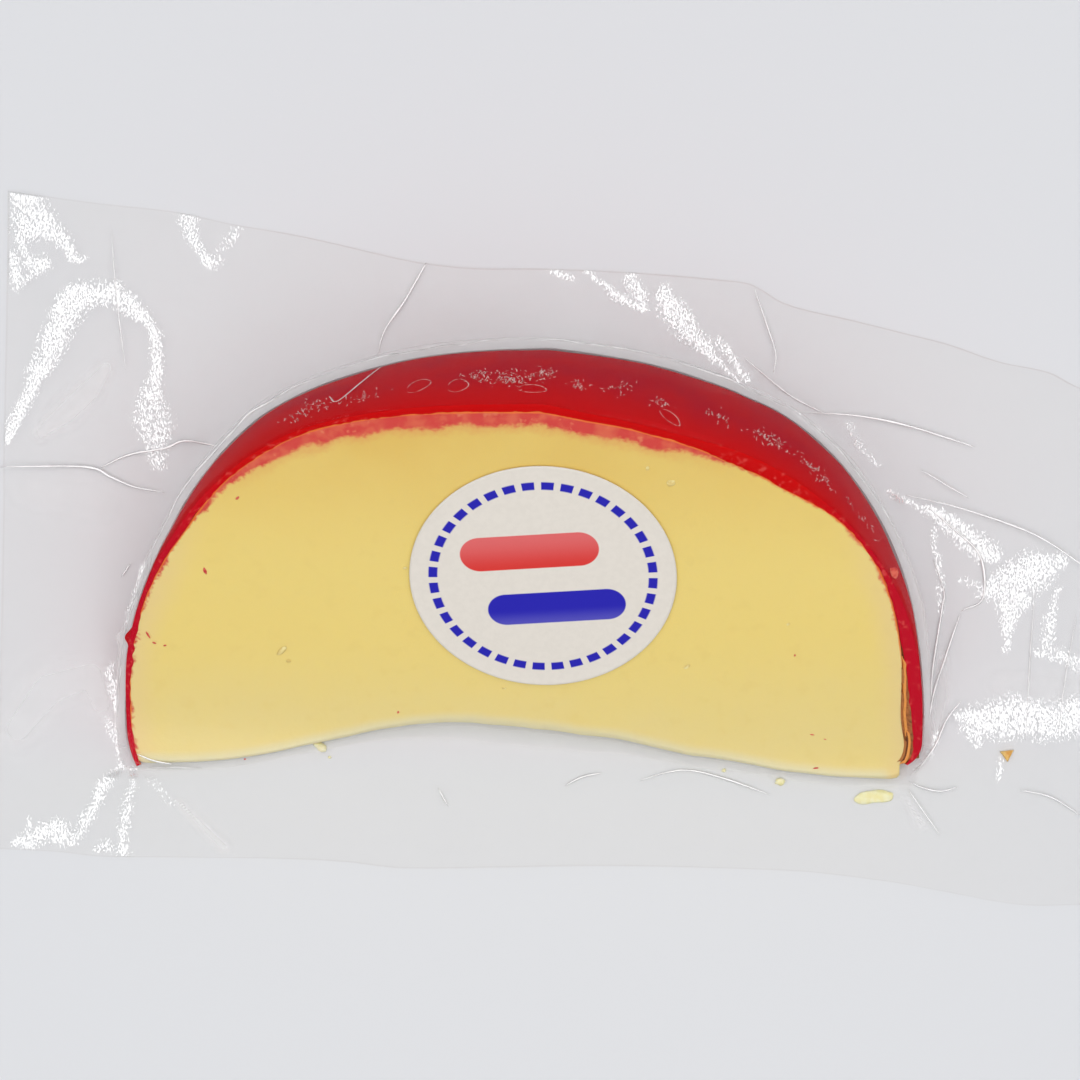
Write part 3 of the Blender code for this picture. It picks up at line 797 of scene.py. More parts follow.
# Patches of embossed film that sparkle, in mm: strength, then x, y and half width along each. Their sparkle is partly
# real gloss and partly painted highlight, white specks in the film.
SPARKLE_HIGHLIGHTS = (
    (1.0, (-104.8, 67.6, 2.9), (-103.5, 64.0, 3.6), (-100.2, 61.0, 2.2), (-96.5, 58.6, 1.3), (-93.2, 55.9, 0.5)),
    (0.9, (-105.4, 63.0, 1.2), (-104.9, 59.0, 0.9), (-103.6, 56.6, 0.8)),
    (1.0, (-104.0, 55.3, 1.0), (-102.2, 54.9, 1.6), (-100.6, 54.8, 0.8)),
    (0.9, (-107.0, 57.2, 0.9), (-106.6, 54.0, 1.2), (-105.9, 51.0, 0.9), (-103.6, 53.2, 0.5)),
    (1.0, (-108.2, 21.0, 1.1), (-103.7, 30.0, 1.3), (-98.9, 39.7, 2.4), (-95.6, 46.8, 3.0), (-92.7, 49.0, 2.2),
     (-90.2, 49.7, 2.0), (-86.9, 49.3, 1.9), (-83.7, 46.4, 1.7), (-81.2, 44.8, 1.2), (-79.7, 41.6, 1.0)),
    (0.95, (-79.7, 41.6, 1.0), (-79.5, 35.2, 1.2), (-80.5, 29.4, 2.0)),
    (0.75, (-80.5, 29.4, 2.0), (-79.9, 24.9, 3.3), (-78.6, 21.0, 2.6), (-78.6, 16.8, 1.2)),
    (1.0, (-74.0, 65.2, 1.5), (-72.4, 61.6, 1.4), (-70.6, 57.8, 1.0), (-69.0, 54.4, 1.1), (-66.4, 54.8, 0.6)),
    (0.75, (-67.6, 55.8, 0.6), (-65.6, 59.0, 0.6), (-64.0, 61.8, 0.8)),
    (0.7, (-3.0, 53.6, 0.7), (-0.6, 52.2, 1.2), (1.6, 51.4, 0.6)),
    (0.9, (3.8, 53.2, 0.5), (7.7, 50.2, 0.8), (16.2, 45.6, 0.7)),
    (0.85, (12.4, 52.8, 1.5), (14.0, 50.2, 1.7), (15.2, 47.6, 1.3), (16.0, 46.0, 0.6)),
    (0.95, (19.6, 51.0, 0.6), (19.4, 48.2, 1.6), (20.4, 45.6, 2.6), (23.4, 42.4, 2.0), (26.8, 39.0, 1.3), (28.6, 36.6, 0.8)),
    (0.8, (29.0, 39.8, 0.9), (31.4, 38.0, 0.9), (33.0, 35.0, 0.7), (34.6, 33.0, 0.5)),
    (0.7, (28.4, 37.0, 0.5), (30.8, 34.4, 0.5), (33.0, 32.6, 0.4)),
    (0.9, (44.4, 26.2, 0.5), (46.8, 24.0, 0.6), (48.8, 22.4, 0.6), (50.6, 19.8, 0.5)),
    (0.5, (54.8, 24.6, 0.4), (57.4, 20.0, 0.7), (59.6, 16.4, 0.5)),
    (0.8, (63.0, 10.2, 0.5), (66.4, 8.6, 0.6), (69.0, 7.8, 0.8)),
    (1.0, (69.8, 7.4, 1.1), (74.6, 4.0, 1.8), (80.3, 0.2, 2.4), (82.9, -1.6, 1.0)),
    (1.0, (81.5, -8.6, 1.6), (86.5, -6.4, 3.2), (90.5, -4.6, 3.4), (95.0, -2.8, 1.5)),
    (1.0, (88.6, -9.8, 1.8), (86.0, -9.8, 2.8), (85.6, -13.2, 2.0), (84.8, -16.2, 1.1), (84.5, -18.8, 0.5)),
    (0.7, (70.8, 3.6, 0.5), (71.8, -1.0, 0.5), (72.4, -6.0, 0.8), (72.6, -12.4, 0.6)),
    (0.7, (76.4, -5.8, 0.6), (80.5, -7.2, 0.8)),
    (0.8, (94.8, -8.4, 0.6), (93.4, -13.6, 0.9), (93.0, -18.4, 1.1)),
    (0.75, (92.2, -20.0, 0.9), (96.5, -21.6, 1.4), (99.5, -22.2, 1.6), (104.0, -25.0, 2.4), (108.0, -27.0, 2.4)),
    (1.0, (75.4, -32.2, 0.8), (80.3, -33.6, 3.4), (86.9, -32.9, 3.9), (93.6, -33.1, 3.6), (99.2, -31.8, 3.0), (108.0, -31.0, 2.4)),
    (0.9, (78.2, -35.6, 1.8), (78.8, -38.2, 0.8)),
    (0.9, (84.0, -41.4, 0.5), (83.4, -44.2, 0.6)),
    (0.85, (63.6, -43.4, 0.5), (67.2, -41.8, 0.7), (70.0, -38.6, 0.8), (71.6, -36.2, 0.6)),
    (0.9, (-87.8, -22.8, 0.5), (-87.3, -26.8, 0.8), (-86.9, -31.0, 0.7)),
    (0.75, (-88.3, -33.2, 0.4), (-87.2, -37.2, 0.5), (-85.4, -40.7, 0.5)),
    (1.0, (-85.4, -41.3, 0.5), (-90.4, -47.1, 0.8), (-92.7, -50.6, 1.0), (-94.1, -54.6, 0.8), (-95.3, -56.9, 0.7)),
    (1.0, (-107.0, -57.2, 0.6), (-103.1, -56.9, 1.6), (-100.8, -54.6, 1.8), (-98.5, -53.2, 1.4), (-97.3, -56.4, 1.4), (-95.4, -56.6, 0.9)),
    (0.8, (-103.7, -52.4, 0.3), (-104.0, -55.2, 0.4)),
    (1.0, (-83.7, -42.4, 0.4), (-84.6, -48.2, 0.6), (-85.4, -54.0, 0.9), (-85.7, -59.0, 0.8)),
    (0.9, (-90.4, -58.5, 0.8), (-89.5, -57.2, 0.8), (-88.3, -58.6, 0.8)),
    (0.5, (-80.5, -44.2, 0.4), (-78.2, -46.5, 0.5), (-75.9, -48.8, 0.4)),
    (0.7, (-84.4, -14.5, 0.4), (-83.2, -9.6, 0.4), (-81.3, -3.0, 0.4)),
)
# Smooth pale reflections, in the same way.
GLEAMS = (
    (0.5, (-89.0, 34.9, 1.6), (-92.5, 30.2, 2.8), (-97.0, 26.0, 2.8), (-101.5, 22.4, 1.6)),
    (0.30, (-104.0, 11.0, 3.0), (-97.0, 10.5, 4.0), (-90.0, 9.0, 3.5)),
    (0.45, (-106.0, -34.9, 4.0), (-100.2, -27.3, 5.0), (-92.1, -24.5, 4.0), (-90.0, -30.0, 3.0)),
    (0.5, (-74.7, -49.2, 0.8), (-66.2, -57.7, 1.2)),
    (0.5, (72.8, -21.0, 1.0), (72.6, -28.0, 1.6), (71.6, -35.0, 1.0)),
    (0.45, (65.6, -48.4, 0.8), (68.6, -53.0, 1.4)),
    (0.35, (84.0, -26.5, 2.5), (93.0, -27.0, 3.0), (103.0, -29.0, 4.0)),
)


def fold_lift(x, y):
    lift = np.zeros(x.shape)
    for start_x, start_y, end_x, end_y, width, height in FOLDS:
        line = ((start_x * MM, start_y * MM), (end_x * MM, end_y * MM))
        away = distance_to_line(x, y, line)[0]
        lift += FOLD_HEIGHT * height * MM * np.exp(-((away / (width * MM)) ** 2))
    return lift


THIN = 0.0006  # the film's mesh shows nothing narrower


def stroke_share(x, y, strokes, soft):
    """How far points belong to strokes whose half width changes along them."""
    share = np.zeros(x.shape)
    for strength, *points in strokes:
        for start, end in zip(points, points[1:]):
            (ax, ay, a_half), (bx, by, b_half) = (tuple(v * MM for v in p) for p in (start, end))
            run_x, run_y = bx - ax, by - ay
            t = np.clip(((x - ax) * run_x + (y - ay) * run_y) / (run_x**2 + run_y**2), 0, 1)
            away = np.hypot(x - ax - t * run_x, y - ay - t * run_y)
            half = np.maximum(a_half + t * (b_half - a_half), THIN)
            share = np.maximum(share, strength * ease(0.5 + (half - away) / (soft + half)))
    return share


def sparkle_highlight_at(x, y):
    moved_x = x + 0.0008 * value_noise(x, y, 0.0050, 31) + 0.0004 * value_noise(x, y, 0.0020, 32)
    moved_y = y + 0.0008 * value_noise(x, y, 0.0050, 33) + 0.0004 * value_noise(x, y, 0.0020, 34)
    return stroke_share(moved_x, moved_y, SPARKLE_HIGHLIGHTS, 0.0004)


def crumple(x, y):
    """Slight folded unevenness all over the margin."""
    bent = x + 0.004 * value_noise(x, y, 0.02, 21)
    return np.abs(value_noise(bent, y, 0.012, 22)) * 0.00030


def make_film():
    even = np.arange(FILM_RAYS) / FILM_RAYS * math.tau
    spread = np.append(0, np.cumsum(reach(even, in_pouch)))
    angles = np.interp(even / math.tau * spread[-1], spread, np.append(even, math.tau))
    for x, y in (POUCH_BACK[0], POUCH_BACK[-1], POUCH_FRONT[0], POUCH_FRONT[-1]):
        corner = math.atan2(y - HUB[1], x - HUB[0]) % math.tau
        angles[np.argmin(np.abs(angles - corner))] = corner
    edge = reach(angles, in_pouch)
    ring = Around(angles)
    top_edge = ring.crest - ring.pull
    bottom_edge = ring.foot - ring.pull
    front = ring.front < bottom_edge
    crest = blur_ring(np.minimum(ring.front + LIFT, top_edge), 1)
    rim = blur_ring(np.minimum(ring.front + LIFT, bottom_edge + LIFT), 1)
    rim = np.maximum(rim, crest + 0.0006)
    rim_x, rim_y = place_of(angles, rim)
    rim += bulge_at(rim_x, rim_y) * ~front
    foot = rim + blur_ring(np.where(front, FRONT_COLLAR, COLLAR), 4)

    shares = np.concatenate([
        np.linspace(0, 0.975, 12), [0.987, 0.994, 1.0, 1.008, 1.03],
        1 + np.sin(np.linspace(0.05, 1, 14)[:-1] * math.pi / 2),
        2 + np.linspace(0, 1, 10)[:-1], 3 + np.linspace(0, 1, 82),
    ])
    knots = np.stack([0 * crest, crest, rim, foot, edge - 0.0002], axis=1)
    whole = np.minimum(shares.astype(int), 3)
    radii = knots[:, whole] + (knots[:, whole + 1] - knots[:, whole]) * (shares - whole)[None]
    x, y = place_of(angles[:, None], radii)

    # On the wedge the film follows the true ball, moved in with the wax.
    ball_x, ball_y = place_of(angles[:, None], radii + ring.pull[:, None] - LIFT)
    top = np.minimum(ball_height(ball_x, ball_y), face_height(x, y)) + LIFT / math.cos(FACE_SLOPE)
    low = lerp(1.0, 0.6, ease((-0.8 - np.cos(angles)) / 0.1))
    rim_height = np.minimum(face_height(rim_x, rim_y), COLLAR_HEIGHT * low)[:, None]
    q = (radii - rim[:, None]) / (foot - rim)[:, None]
    skirt = FLAT + (rim_height + LIFT - FLAT) * np.clip(1 - q, 0, 1.2) ** COLLAR_BEND
    beyond = radii > crest[:, None]
    z = np.where(radii > rim[:, None], skirt, np.where(beyond, np.maximum(top, skirt), top))
    past = ease((radii - foot[:, None]) / FOLD_EASE)
    outside = radii > foot[:, None] - 0.001
    shine = sparkle_highlight_at(x, y) * outside
    # Light and colour thrown by the wedge fade away from it: painted bounce light in the film's tint, and painted pale
    # fill light behind the wedge and on the collar.
    away = np.maximum(radii - foot[:, None], 0)
    back = ease((np.sin(angles)[:, None] - 0.1) / 0.5)
    near = np.where(outside, np.exp(-away / 0.014), 0)
    gleam = (BACK_PAINTED_FILL * back * np.exp(-away / 0.008) + stroke_share(x, y, GLEAMS, 0.001)) * outside
    collar = ease((radii - rim[:, None] + 0.0003) / 0.0003) * ease((foot[:, None] + 0.0006 - radii) / 0.0012)
    collar *= lerp(0.2, 1.0, ease((np.sin(angles)[:, None] + 0.38) / 0.12))
    gleam = np.maximum(gleam, COLLAR_PAINTED_FILL * collar)
    z += past * (fold_lift(x, y) + crumple(x, y))
    for crumb_x, crumb_y, long, wide, high, _ in (*CRUMBS, AMBER_CRUMB):
        away = np.hypot(x - crumb_x * MM, y - crumb_y * MM)
        tent = high * MM * np.exp(-((away / (0.42 * (long + wide) * MM + 0.0004)) ** 4))
        z = np.where(beyond, np.maximum(z, tent + 0.0003), z)

    below = edge[:, None] * np.append(0.9999, np.linspace(0.99, 0, UNDER_STEPS))[None]
    low = np.full(below.shape, 0.00008)
    low[:, 0] = np.maximum(z[:, -1] - 0.0003, 0.00008)
    under_x, under_y = place_of(angles[:, None], below)
    grid = np.concatenate(
        [np.stack([x, y, z], axis=-1), np.stack([under_x, under_y, low], axis=-1)], axis=1
    )
    obj = shell("pouch_film", grid)

    def flat_values(upper, lower):
        values = np.concatenate([upper, np.full(below.shape, lower)], axis=1)[:, 1:-1]
        return np.append(values.ravel(), [upper[0, 0], lower])

    paint(obj, "to_edge", flat_values(edge[:, None] - radii, 0.05))
    paint(obj, "shine", flat_values(shine, 0.0))
    paint(obj, "gleam", flat_values(gleam, 0.0))
    paint(obj, "near", flat_values(near, 0.0))
    paint(obj, "upper", flat_values(np.ones(radii.shape), 0.0))
    obj.data.materials.append(film_material())
    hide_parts("vacuum_bag")
    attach(obj, "root")
    return obj


def film_shader(n, share, painted_white, normal, roughness, tint):
    """Clear film: light goes straight through, but for a share that is reflected and a share painted white, which
    stands for highlights and fill light.
    """
    clear = n.add("ShaderNodeBsdfTransparent", {"Color": tint})
    gloss = n.add("ShaderNodeBsdfGlossy", {"Color": (1, 1, 1, 1), "Roughness": roughness, "Normal": normal})
    painted_white_bsdf = n.add("ShaderNodeBsdfPrincipled", {"Base Color": (0.975, 0.96, 0.963, 1), "Roughness": 0.35})
    mixed = n.add("ShaderNodeMixShader", {0: painted_white, 1: clear.outputs[0], 2: painted_white_bsdf.outputs[0]})
    mixed = n.add("ShaderNodeMixShader", {0: share, 1: mixed.outputs[0], 2: gloss.outputs[0]})
    return n.finish(mixed.outputs[0])


def film_material():
    n = Nodes("clear pouch film")
    to_edge, upper, near = n.attribute("to_edge"), n.attribute("upper"), n.attribute("near")
    shine, gleam = n.attribute("shine"), n.attribute("gleam")
    woven = n.add("ShaderNodeMapping", {"Vector": n.place, "Rotation": (0, 0, 0.8), "Scale": (1.5, 0.75, 1)})
    grain = n.noise(0.00040, 1.5, 0.6, place=woven.outputs["Vector"])
    # The more a place sparkles, the more of its grain is bright: painted white highlight specks, with some more real
    # gloss.
    over = n.math("ADD", grain, n.math("SUBTRACT", n.math("MULTIPLY", shine, 0.21), 0.65))
    specks = n.math("MULTIPLY", n.band(over, 0.0, 0.04), n.band(shine, 0.03, 0.15))
    painted_white = n.math("ADD", n.math("MULTIPLY", specks, 0.32), n.math("MULTIPLY", gleam, 0.60))
    painted_white = n.math("MULTIPLY", painted_white, upper, clamp=True)
    facing = n.add("ShaderNodeLayerWeight", {"Blend": 0.5}).outputs["Facing"]
    grazing = n.math("MULTIPLY", n.math("POWER", facing, 7.0), 0.11)
    share = n.math("MULTIPLY", n.math("ADD", grazing, 0.009), n.math("ADD", n.math("MULTIPLY", upper, 0.9), 0.1))
    sparkle = n.math("ADD", n.math("MULTIPLY", specks, 0.30), n.math("MULTIPLY", shine, 0.05))
    share = n.math("ADD", share, n.math("MULTIPLY", sparkle, upper))
    place = n.add("ShaderNodeSeparateXYZ", {0: n.place})
    x, y = place.outputs["X"], place.outputs["Y"]
    # Painted light: near the wedge the film is tinted by light bounced off it, yellow in front of the paste, pink
    # beside the wax.
    painted_bounce_tint = n.mix(n.band(y, -0.046, -0.036), (0.991, 0.988, 0.976, 1), (0.996, 0.983, 0.982, 1))
    painted_bounce_tint = n.mix(n.math("MULTIPLY", n.band(x, -0.072, -0.084), n.band(y, -0.046, -0.030)), painted_bounce_tint, (0.992, 0.962, 0.960, 1))
    tint = n.mix(near, (0.989, 0.987, 0.984, 1), painted_bounce_tint)
    dark = n.math("MULTIPLY", n.band(y, 0.0, 0.01), n.band(x, -0.072, -0.045))
    hem = n.mix(dark, (0.955, 0.94, 0.93, 1), (0.90, 0.86, 0.85, 1))
    tint = n.mix(n.band(to_edge, 0.0006, 0.0002, 0, 1), tint, hem)
    return film_shader(n, share, painted_white, n.bump(grain, 0.00003), 0.10, tint)


# Thin sharp creases of the film, in mm: half width, then points along each.
CREASES = (
    (0.30, (-36.5, 37.5), (-35.1, 42.2), (-31.2, 48.0), (-27.1, 55.2)),
    (0.26, (-33.6, 36.4), (-38.5, 31.0), (-42.5, 27.2), (-44.2, 28.3)),
    (0.22, (36.4, 50.0), (39.0, 42.5), (40.5, 37.5), (40.0, 34.0)),
    (0.26, (34.5, 36.8), (43.0, 29.8), (50.5, 25.8)),
    (0.26, (45.1, 26.4), (56.7, 25.6), (66.5, 23.6), (79.0, 19.6)),
    (0.18, (68.5, 15.2), (77.6, 9.8)),
    (0.22, (65.6, 10.3), (76.1, 7.8), (89.8, 3.0), (99.1, -2.8), (104, -6)),
    (0.13, (-88.0, 61.6), (-87.0, 50.0), (-85.2, 34.5)),
    (0.24, (-82.8, -39.6), (-79.5, -40.9), (-75.8, -41.6)),
    (0.20, (-80.9, -42.4), (-76.0, -42.3), (-70.5, -42.5)),
    (0.30, (-90.1, 15.6), (-84.7, 18.1), (-77.6, 19.4), (-73.7, 20.8), (-67.3, 19.8)),
    (0.28, (-109.5, 15.8), (-93.0, 15.8), (-88.0, 13.8), (-83.4, 11.9), (-77.6, 10.9)),
    (0.28, (71.0, -2.2), (73.0, -8.2), (72.6, -12.0), (70.9, -22.9), (70.6, -28.6)),
    (0.30, (76.1, -12.8), (73.4, -20.6), (71.2, -27.4), (70.2, -33.0)),
    (0.30, (76.1, -29.5), (73.4, -33.2), (71.4, -38.0), (68.6, -42.0), (66.2, -44.0)),
    (0.22, (66.2, -44.9), (68.5, -46.1), (72.2, -46.9), (75.7, -46.1)),
    (0.28, (70.0, 7.8), (74.5, 4.0), (80.0, -1.5), (80.6, -9.5), (76.5, -12.0)),
    (0.24, (-0.3, -45.9), (3.0, -44.2), (6.8, -43.4)),
    (0.22, (14.2, -44.9), (19.0, -43.4), (23.9, -42.9), (31.0, -44.6), (39.3, -47.6)),
    (0.20, (87.7, -46.7), (93.5, -48.0), (99.3, -51.5)),
    (0.11, (90.7, -6.9), (89.6, -21.5), (88.6, -37.0)),
    (0.11, (98.7, -12.6), (96.4, -25.4), (94.8, -37.0)),
    (0.20, (-24.8, -46.3), (-22.9, -49.8)),
    (0.18, (66.0, -46.5), (72.2, -55.4)),
    (0.30, (-80.9, -2.2), (-81.8, -6.3), (-83.9, -11.1), (-85.0, -14.9)),
    (0.16, (-80.0, -1.0), (-81.0, -5.9), (-83.2, -10.6)),
    (0.24, (-86.0, -5.4), (-84.3, -2.9)),
)
# How far the film's collar stands from the wax, and the stretches that show as bright lines, in degrees.
COLLAR_LINES = ((96, 128, 0.20), (131, 176, 0.26), (178, 196, 0.20), (36, 58, 0.22), (8, 33, 0.22), (62, 92, 0.14))


def smooth_line(points, spacing=0.0005):
    """A polyline on a smooth curve through its points, evenly divided."""
    points = np.array(points)
    ends = np.concatenate([2 * points[:1] - points[1:2], points, 2 * points[-1:] - points[-2:-1]])
    out = []
    for a, b, c, d in zip(ends, ends[1:], ends[2:], ends[3:]):
        steps = max(2, int(np.linalg.norm(c - b) / spacing))
        t = (np.arange(steps) / steps)[:, None]
        out.append(0.5 * (2 * b + (c - a) * t + (2 * a - 5 * b + 4 * c - d) * t**2 + (3 * b - a - 3 * c + d) * t**3))
    return np.concatenate(out + [points[-1:]])


def ridge_parts(tree, line, half_width, slope=0.28):
    """A narrow ridge along a line on the film, tapering to both ends."""
    count = len(line)
    spots, ups = [], []
    for px, py in line:
        hit, normal = tree.ray_cast(Vector((px, py, 1.0)), Vector((0, 0, -1)))[:2]
        spots.append(hit if hit else Vector((px, py, FLAT)))
        ups.append(normal if hit else Vector((0, 0, 1)))
    spots, ups = np.array(spots), np.array(ups)
    along = np.gradient(spots, axis=0)
    along /= np.linalg.norm(along, axis=1)[:, None]
    across = np.cross(along, ups)
    across /= np.linalg.norm(across, axis=1)[:, None]
    taper = np.sin(np.linspace(0.02, 0.98, count) * math.pi) ** 0.5
    wobble = 1 + 0.25 * value_noise(np.arange(count) * 0.5, np.zeros(count), 6.0, 61)
    width = (half_width * taper * wobble)[:, None]
    loops = []
    for out, up in ((-1, 0), (-0.5, 0.62), (0, 1), (0.5, 0.62), (1, 0), (0, -0.15)):
        loops.append(spots + across * out * width + ups * (up * slope * width + 0.00002))
    return bar_parts(np.stack(loops, axis=1))


def make_creases(tree):
    pieces = []
    for half_width, *line in CREASES:
        pieces.append(ridge_parts(tree, smooth_line([(x * MM, y * MM) for x, y in line]), 0.85 * half_width * MM))
    for start, end, half_width in COLLAR_LINES:
        angles = np.radians(np.linspace(start, end, int((end - start) * 3)))
        ring = Around(angles)
        wander = 0.0003 * value_noise(angles * 0.08, 0 * angles, 0.006, 62)
        radii = ring.foot - ring.pull + COLLAR + wander
        line = np.stack(place_of(angles, radii), axis=-1)
        pieces.append(ridge_parts(tree, line, half_width * MM))
    obj = join("film_creases", pieces)
    n = Nodes("creased film")
    # Painted highlights: the white share of the creases and collar lines stands for the bright lines their folds
    # catch.
    grain = n.noise(0.0030, 1)
    painted_white = n.band(grain, 0.30, 0.70, 0.45, 0.85)
    obj.data.materials.append(film_shader(n, 0.22, painted_white, n.bump(grain, 0.00006), 0.20, (0.99, 0.985, 0.985, 1)))
    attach(obj, "root")
    return obj


# Air caught between wax and film: groups of short curved lines, in degrees round the hub, then how
# far down the wax as a share, spread in degrees and mm, and how many; and rings with their radius in mm.
AIR_GROUPS = (
    (138, 0.42, 5.0, 1.3, 34), (128, 0.36, 4.0, 1.0, 16), (101, 0.50, 2.6, 1.2, 26), (93, 0.42, 4.0, 1.6, 46),
    (85, 0.50, 3.0, 1.4, 24), (76, 0.40, 2.6, 1.2, 14), (66, 0.45, 3.0, 1.4, 14), (56, 0.40, 2.2, 1.0, 14),
    (44, 0.45, 2.4, 1.0, 16), (33, 0.42, 4.0, 1.1, 40), (24, 0.40, 4.0, 0.9, 30), (14, 0.42, 4.0, 0.6, 14),
)
AIR_RINGS = ((116, 0.40, 2.3, 1.1), (107, 0.34, 1.9, 1.3), (88, 0.25, 2.6, 0.8), (52, 0.22, 2.2, 0.9))


def on_wax(degrees, share):
    """A point on the sloping outside of the wax, seen from above."""
    ring = Around(np.radians(np.atleast_1d(np.asarray(degrees, dtype=float))))
    radii = lerp(ring.crest, ring.foot, share) - ring.pull
    return np.stack(place_of(ring.angles, radii), axis=-1)


def make_air(tree):
    random = np.random.default_rng(8)
    pieces = []
    for degrees, share, spread, spread_out, count in AIR_GROUPS:
        for _ in range(int(count * 1.8)):
            centre = on_wax(degrees + random.normal() * spread / 2, share)[0]
            centre = centre + random.normal(size=2) * spread_out * MM * 0.5
            turn, bend = random.uniform(0, math.tau), random.normal() * 1.6
            long = random.uniform(0.15, 0.9) * MM
            t = np.linspace(-0.5, 0.5, 7)
            heading = turn + bend * t
            step = np.stack([np.cos(heading), np.sin(heading)], axis=-1) * long / 6
            line = centre + np.cumsum(step, axis=0)
            pieces.append(ridge_parts(tree, line, random.uniform(0.05, 0.115) * MM))
    for degrees, share, long, wide in AIR_RINGS:
        centre = on_wax(degrees, share)[0]
        heading = math.radians(degrees + 90)
        t = np.linspace(0.2, math.tau * 0.93, 40)
        uneven = 1 + 0.12 * value_noise(t, 0 * t, 0.9, 63)
        a, b = np.cos(t) * long * MM * uneven, np.sin(t) * wide * MM * uneven
        line = centre + np.stack(
            [a * math.cos(heading) - b * math.sin(heading), a * math.sin(heading) + b * math.cos(heading)], axis=-1
        )
        pieces.append(ridge_parts(tree, line, 0.08 * MM))
    obj = join("trapped_air", pieces)
    n = Nodes("trapped air")
    # Painted highlights: the pale share stands for light glinting at the edges of the air caught under the film.
    share = n.band(n.noise(0.0006, 1), 0.35, 0.6, 0.25, 0.85)
    pale = n.add("ShaderNodeBsdfPrincipled", {"Base Color": srgb(250, 214, 208), "Roughness": 0.4})
    clear = n.add("ShaderNodeBsdfTransparent", {"Color": (1, 1, 1, 1)})
    mixed = n.add("ShaderNodeMixShader", {0: share, 1: clear.outputs[0], 2: pale.outputs[0]})
    obj.data.materials.append(n.finish(mixed.outputs[0]))
    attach(obj, "root")
    return obj


# --- Label ---------------------------------------------------------------------------------------

LABEL_RADIUS, LABEL_THICK, LABEL_TURN = 0.025, 0.00016, math.radians(4)


def make_label(film_tree):
    rays, rings = 240, 40
    centre = np.array([(LABEL_BOX[0][k] + LABEL_BOX[1][k]) / 2 for k in range(3)])
    normal = Vector((-math.tan(FACE_LEAN), -math.tan(FACE_SLOPE), 1)).normalized()
    across = Vector((1, 0, math.tan(FACE_LEAN))).normalized()
    up = normal.cross(across)
    angles = np.arange(rays) / rays * math.tau
    radii = np.concatenate([np.linspace(0, 1, rings) ** 0.8 * LABEL_RADIUS, [LABEL_RADIUS, LABEL_RADIUS * 0.5, 0]])
    u, v = np.outer(np.cos(angles), radii), np.outer(np.sin(angles), radii)
    flat = centre + u[..., None] * np.array(across) + v[..., None] * np.array(up)
    z = film_height(film_tree, flat[..., 0], flat[..., 1])
    curl = 0.00012 * np.clip((radii / LABEL_RADIUS - 0.93) / 0.07, 0, 1) ** 2
    lift = 0.00006 + LABEL_THICK + curl
    lift[rings:] = 0.00004
    flat[..., 2] = z + lift[None]
    obj = shell("label_paper", flat)
    count = len(radii) - 2
    paint(obj, "label_u", np.append(u[:, 1:-1].ravel(), [0, 0]))
    paint(obj, "label_v", np.append(v[:, 1:-1].ravel(), [0, 0]))
    obj.data.materials.append(label_material())
    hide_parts("label")
    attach(obj, "root")
    return obj


def label_material():
    n = Nodes("label paper")
    turn, side = math.cos(LABEL_TURN), math.sin(LABEL_TURN)
    u0, v0 = n.attribute("label_u"), n.attribute("label_v")
    u = n.math("ADD", n.math("MULTIPLY", u0, turn), n.math("MULTIPLY", v0, side))
    v = n.math("SUBTRACT", n.math("MULTIPLY", v0, turn), n.math("MULTIPLY", u0, side))

    def stripe(left, right, low, high, soft=0.00012):
        """A rounded bar between two corners."""
        half = (high - low) / 2
        middle = (low + high) / 2
        du = n.math("SUBTRACT", n.math("ABSOLUTE", n.math("SUBTRACT", u, (left + right) / 2)), (right - left) / 2 - half)
        dv = n.math("SUBTRACT", v, middle)
        du = n.math("MAXIMUM", du, 0.0)
        away = n.math("SQRT", n.math("ADD", n.math("MULTIPLY", du, du), n.math("MULTIPLY", dv, dv)))
        return n.band(away, half + soft, half - soft)

    paper = n.mix(n.band(n.noise(0.0012, 2), 0.3, 0.7), srgb(228, 221, 211), srgb(231, 224, 214))
    radius = n.math("SQRT", n.math("ADD", n.math("MULTIPLY", u, u), n.math("MULTIPLY", v, v)))
    turn_angle = n.math("ARCTAN2", v, u)
    dashes = n.math("SINE", n.math("MULTIPLY", turn_angle, 36.0))
    ring = n.math("MULTIPLY", n.band(radius, 0.0196, 0.0199), n.band(radius, 0.0216, 0.0213))
    ring = n.math("MULTIPLY", ring, n.band(dashes, -0.55, -0.35))
    blue, red = srgb(30, 24, 176), srgb(220, 52, 46)
    colour = n.mix(ring, paper, blue)
    red_fade = n.mix(n.band(v, 0.0020, 0.0095), red, srgb(226, 104, 104))
    blue_fade = n.mix(n.band(v, -0.0108, -0.0070), srgb(84, 80, 188), blue)
    colour = n.mix(stripe(-0.0150, 0.0110, 0.0022, 0.0098), colour, red_fade)
    colour = n.mix(stripe(-0.0110, 0.0150, -0.0104, -0.0034), colour, blue_fade)
    shader = n.add(
        "ShaderNodeBsdfPrincipled",
        {"Base Color": colour, "Roughness": 0.6, "Specular IOR Level": 0.3,
         "Normal": n.bump(n.noise(0.0006, 3), 0.00003)},
    )
    return n.finish(shader.outputs[0])


# --- Helpers that place things on the film ---------------------------------------------------------


def film_height(tree, x, y):
    """Height of the film at points, looked up from above."""
    flat = np.empty(x.size)
    for k, (px, py) in enumerate(zip(x.ravel(), y.ravel())):
        hit = tree.ray_cast(Vector((px, py, 1.0)), Vector((0, 0, -1)))[0]
        flat[k] = hit.z if hit else FLAT
    return flat.reshape(x.shape)


def tree_of(obj):
    mesh = obj.data
    return BVHTree.FromPolygons([v.co for v in mesh.vertices], [p.vertices for p in mesh.polygons])


# --- Stage ---------------------------------------------------------------------------------------

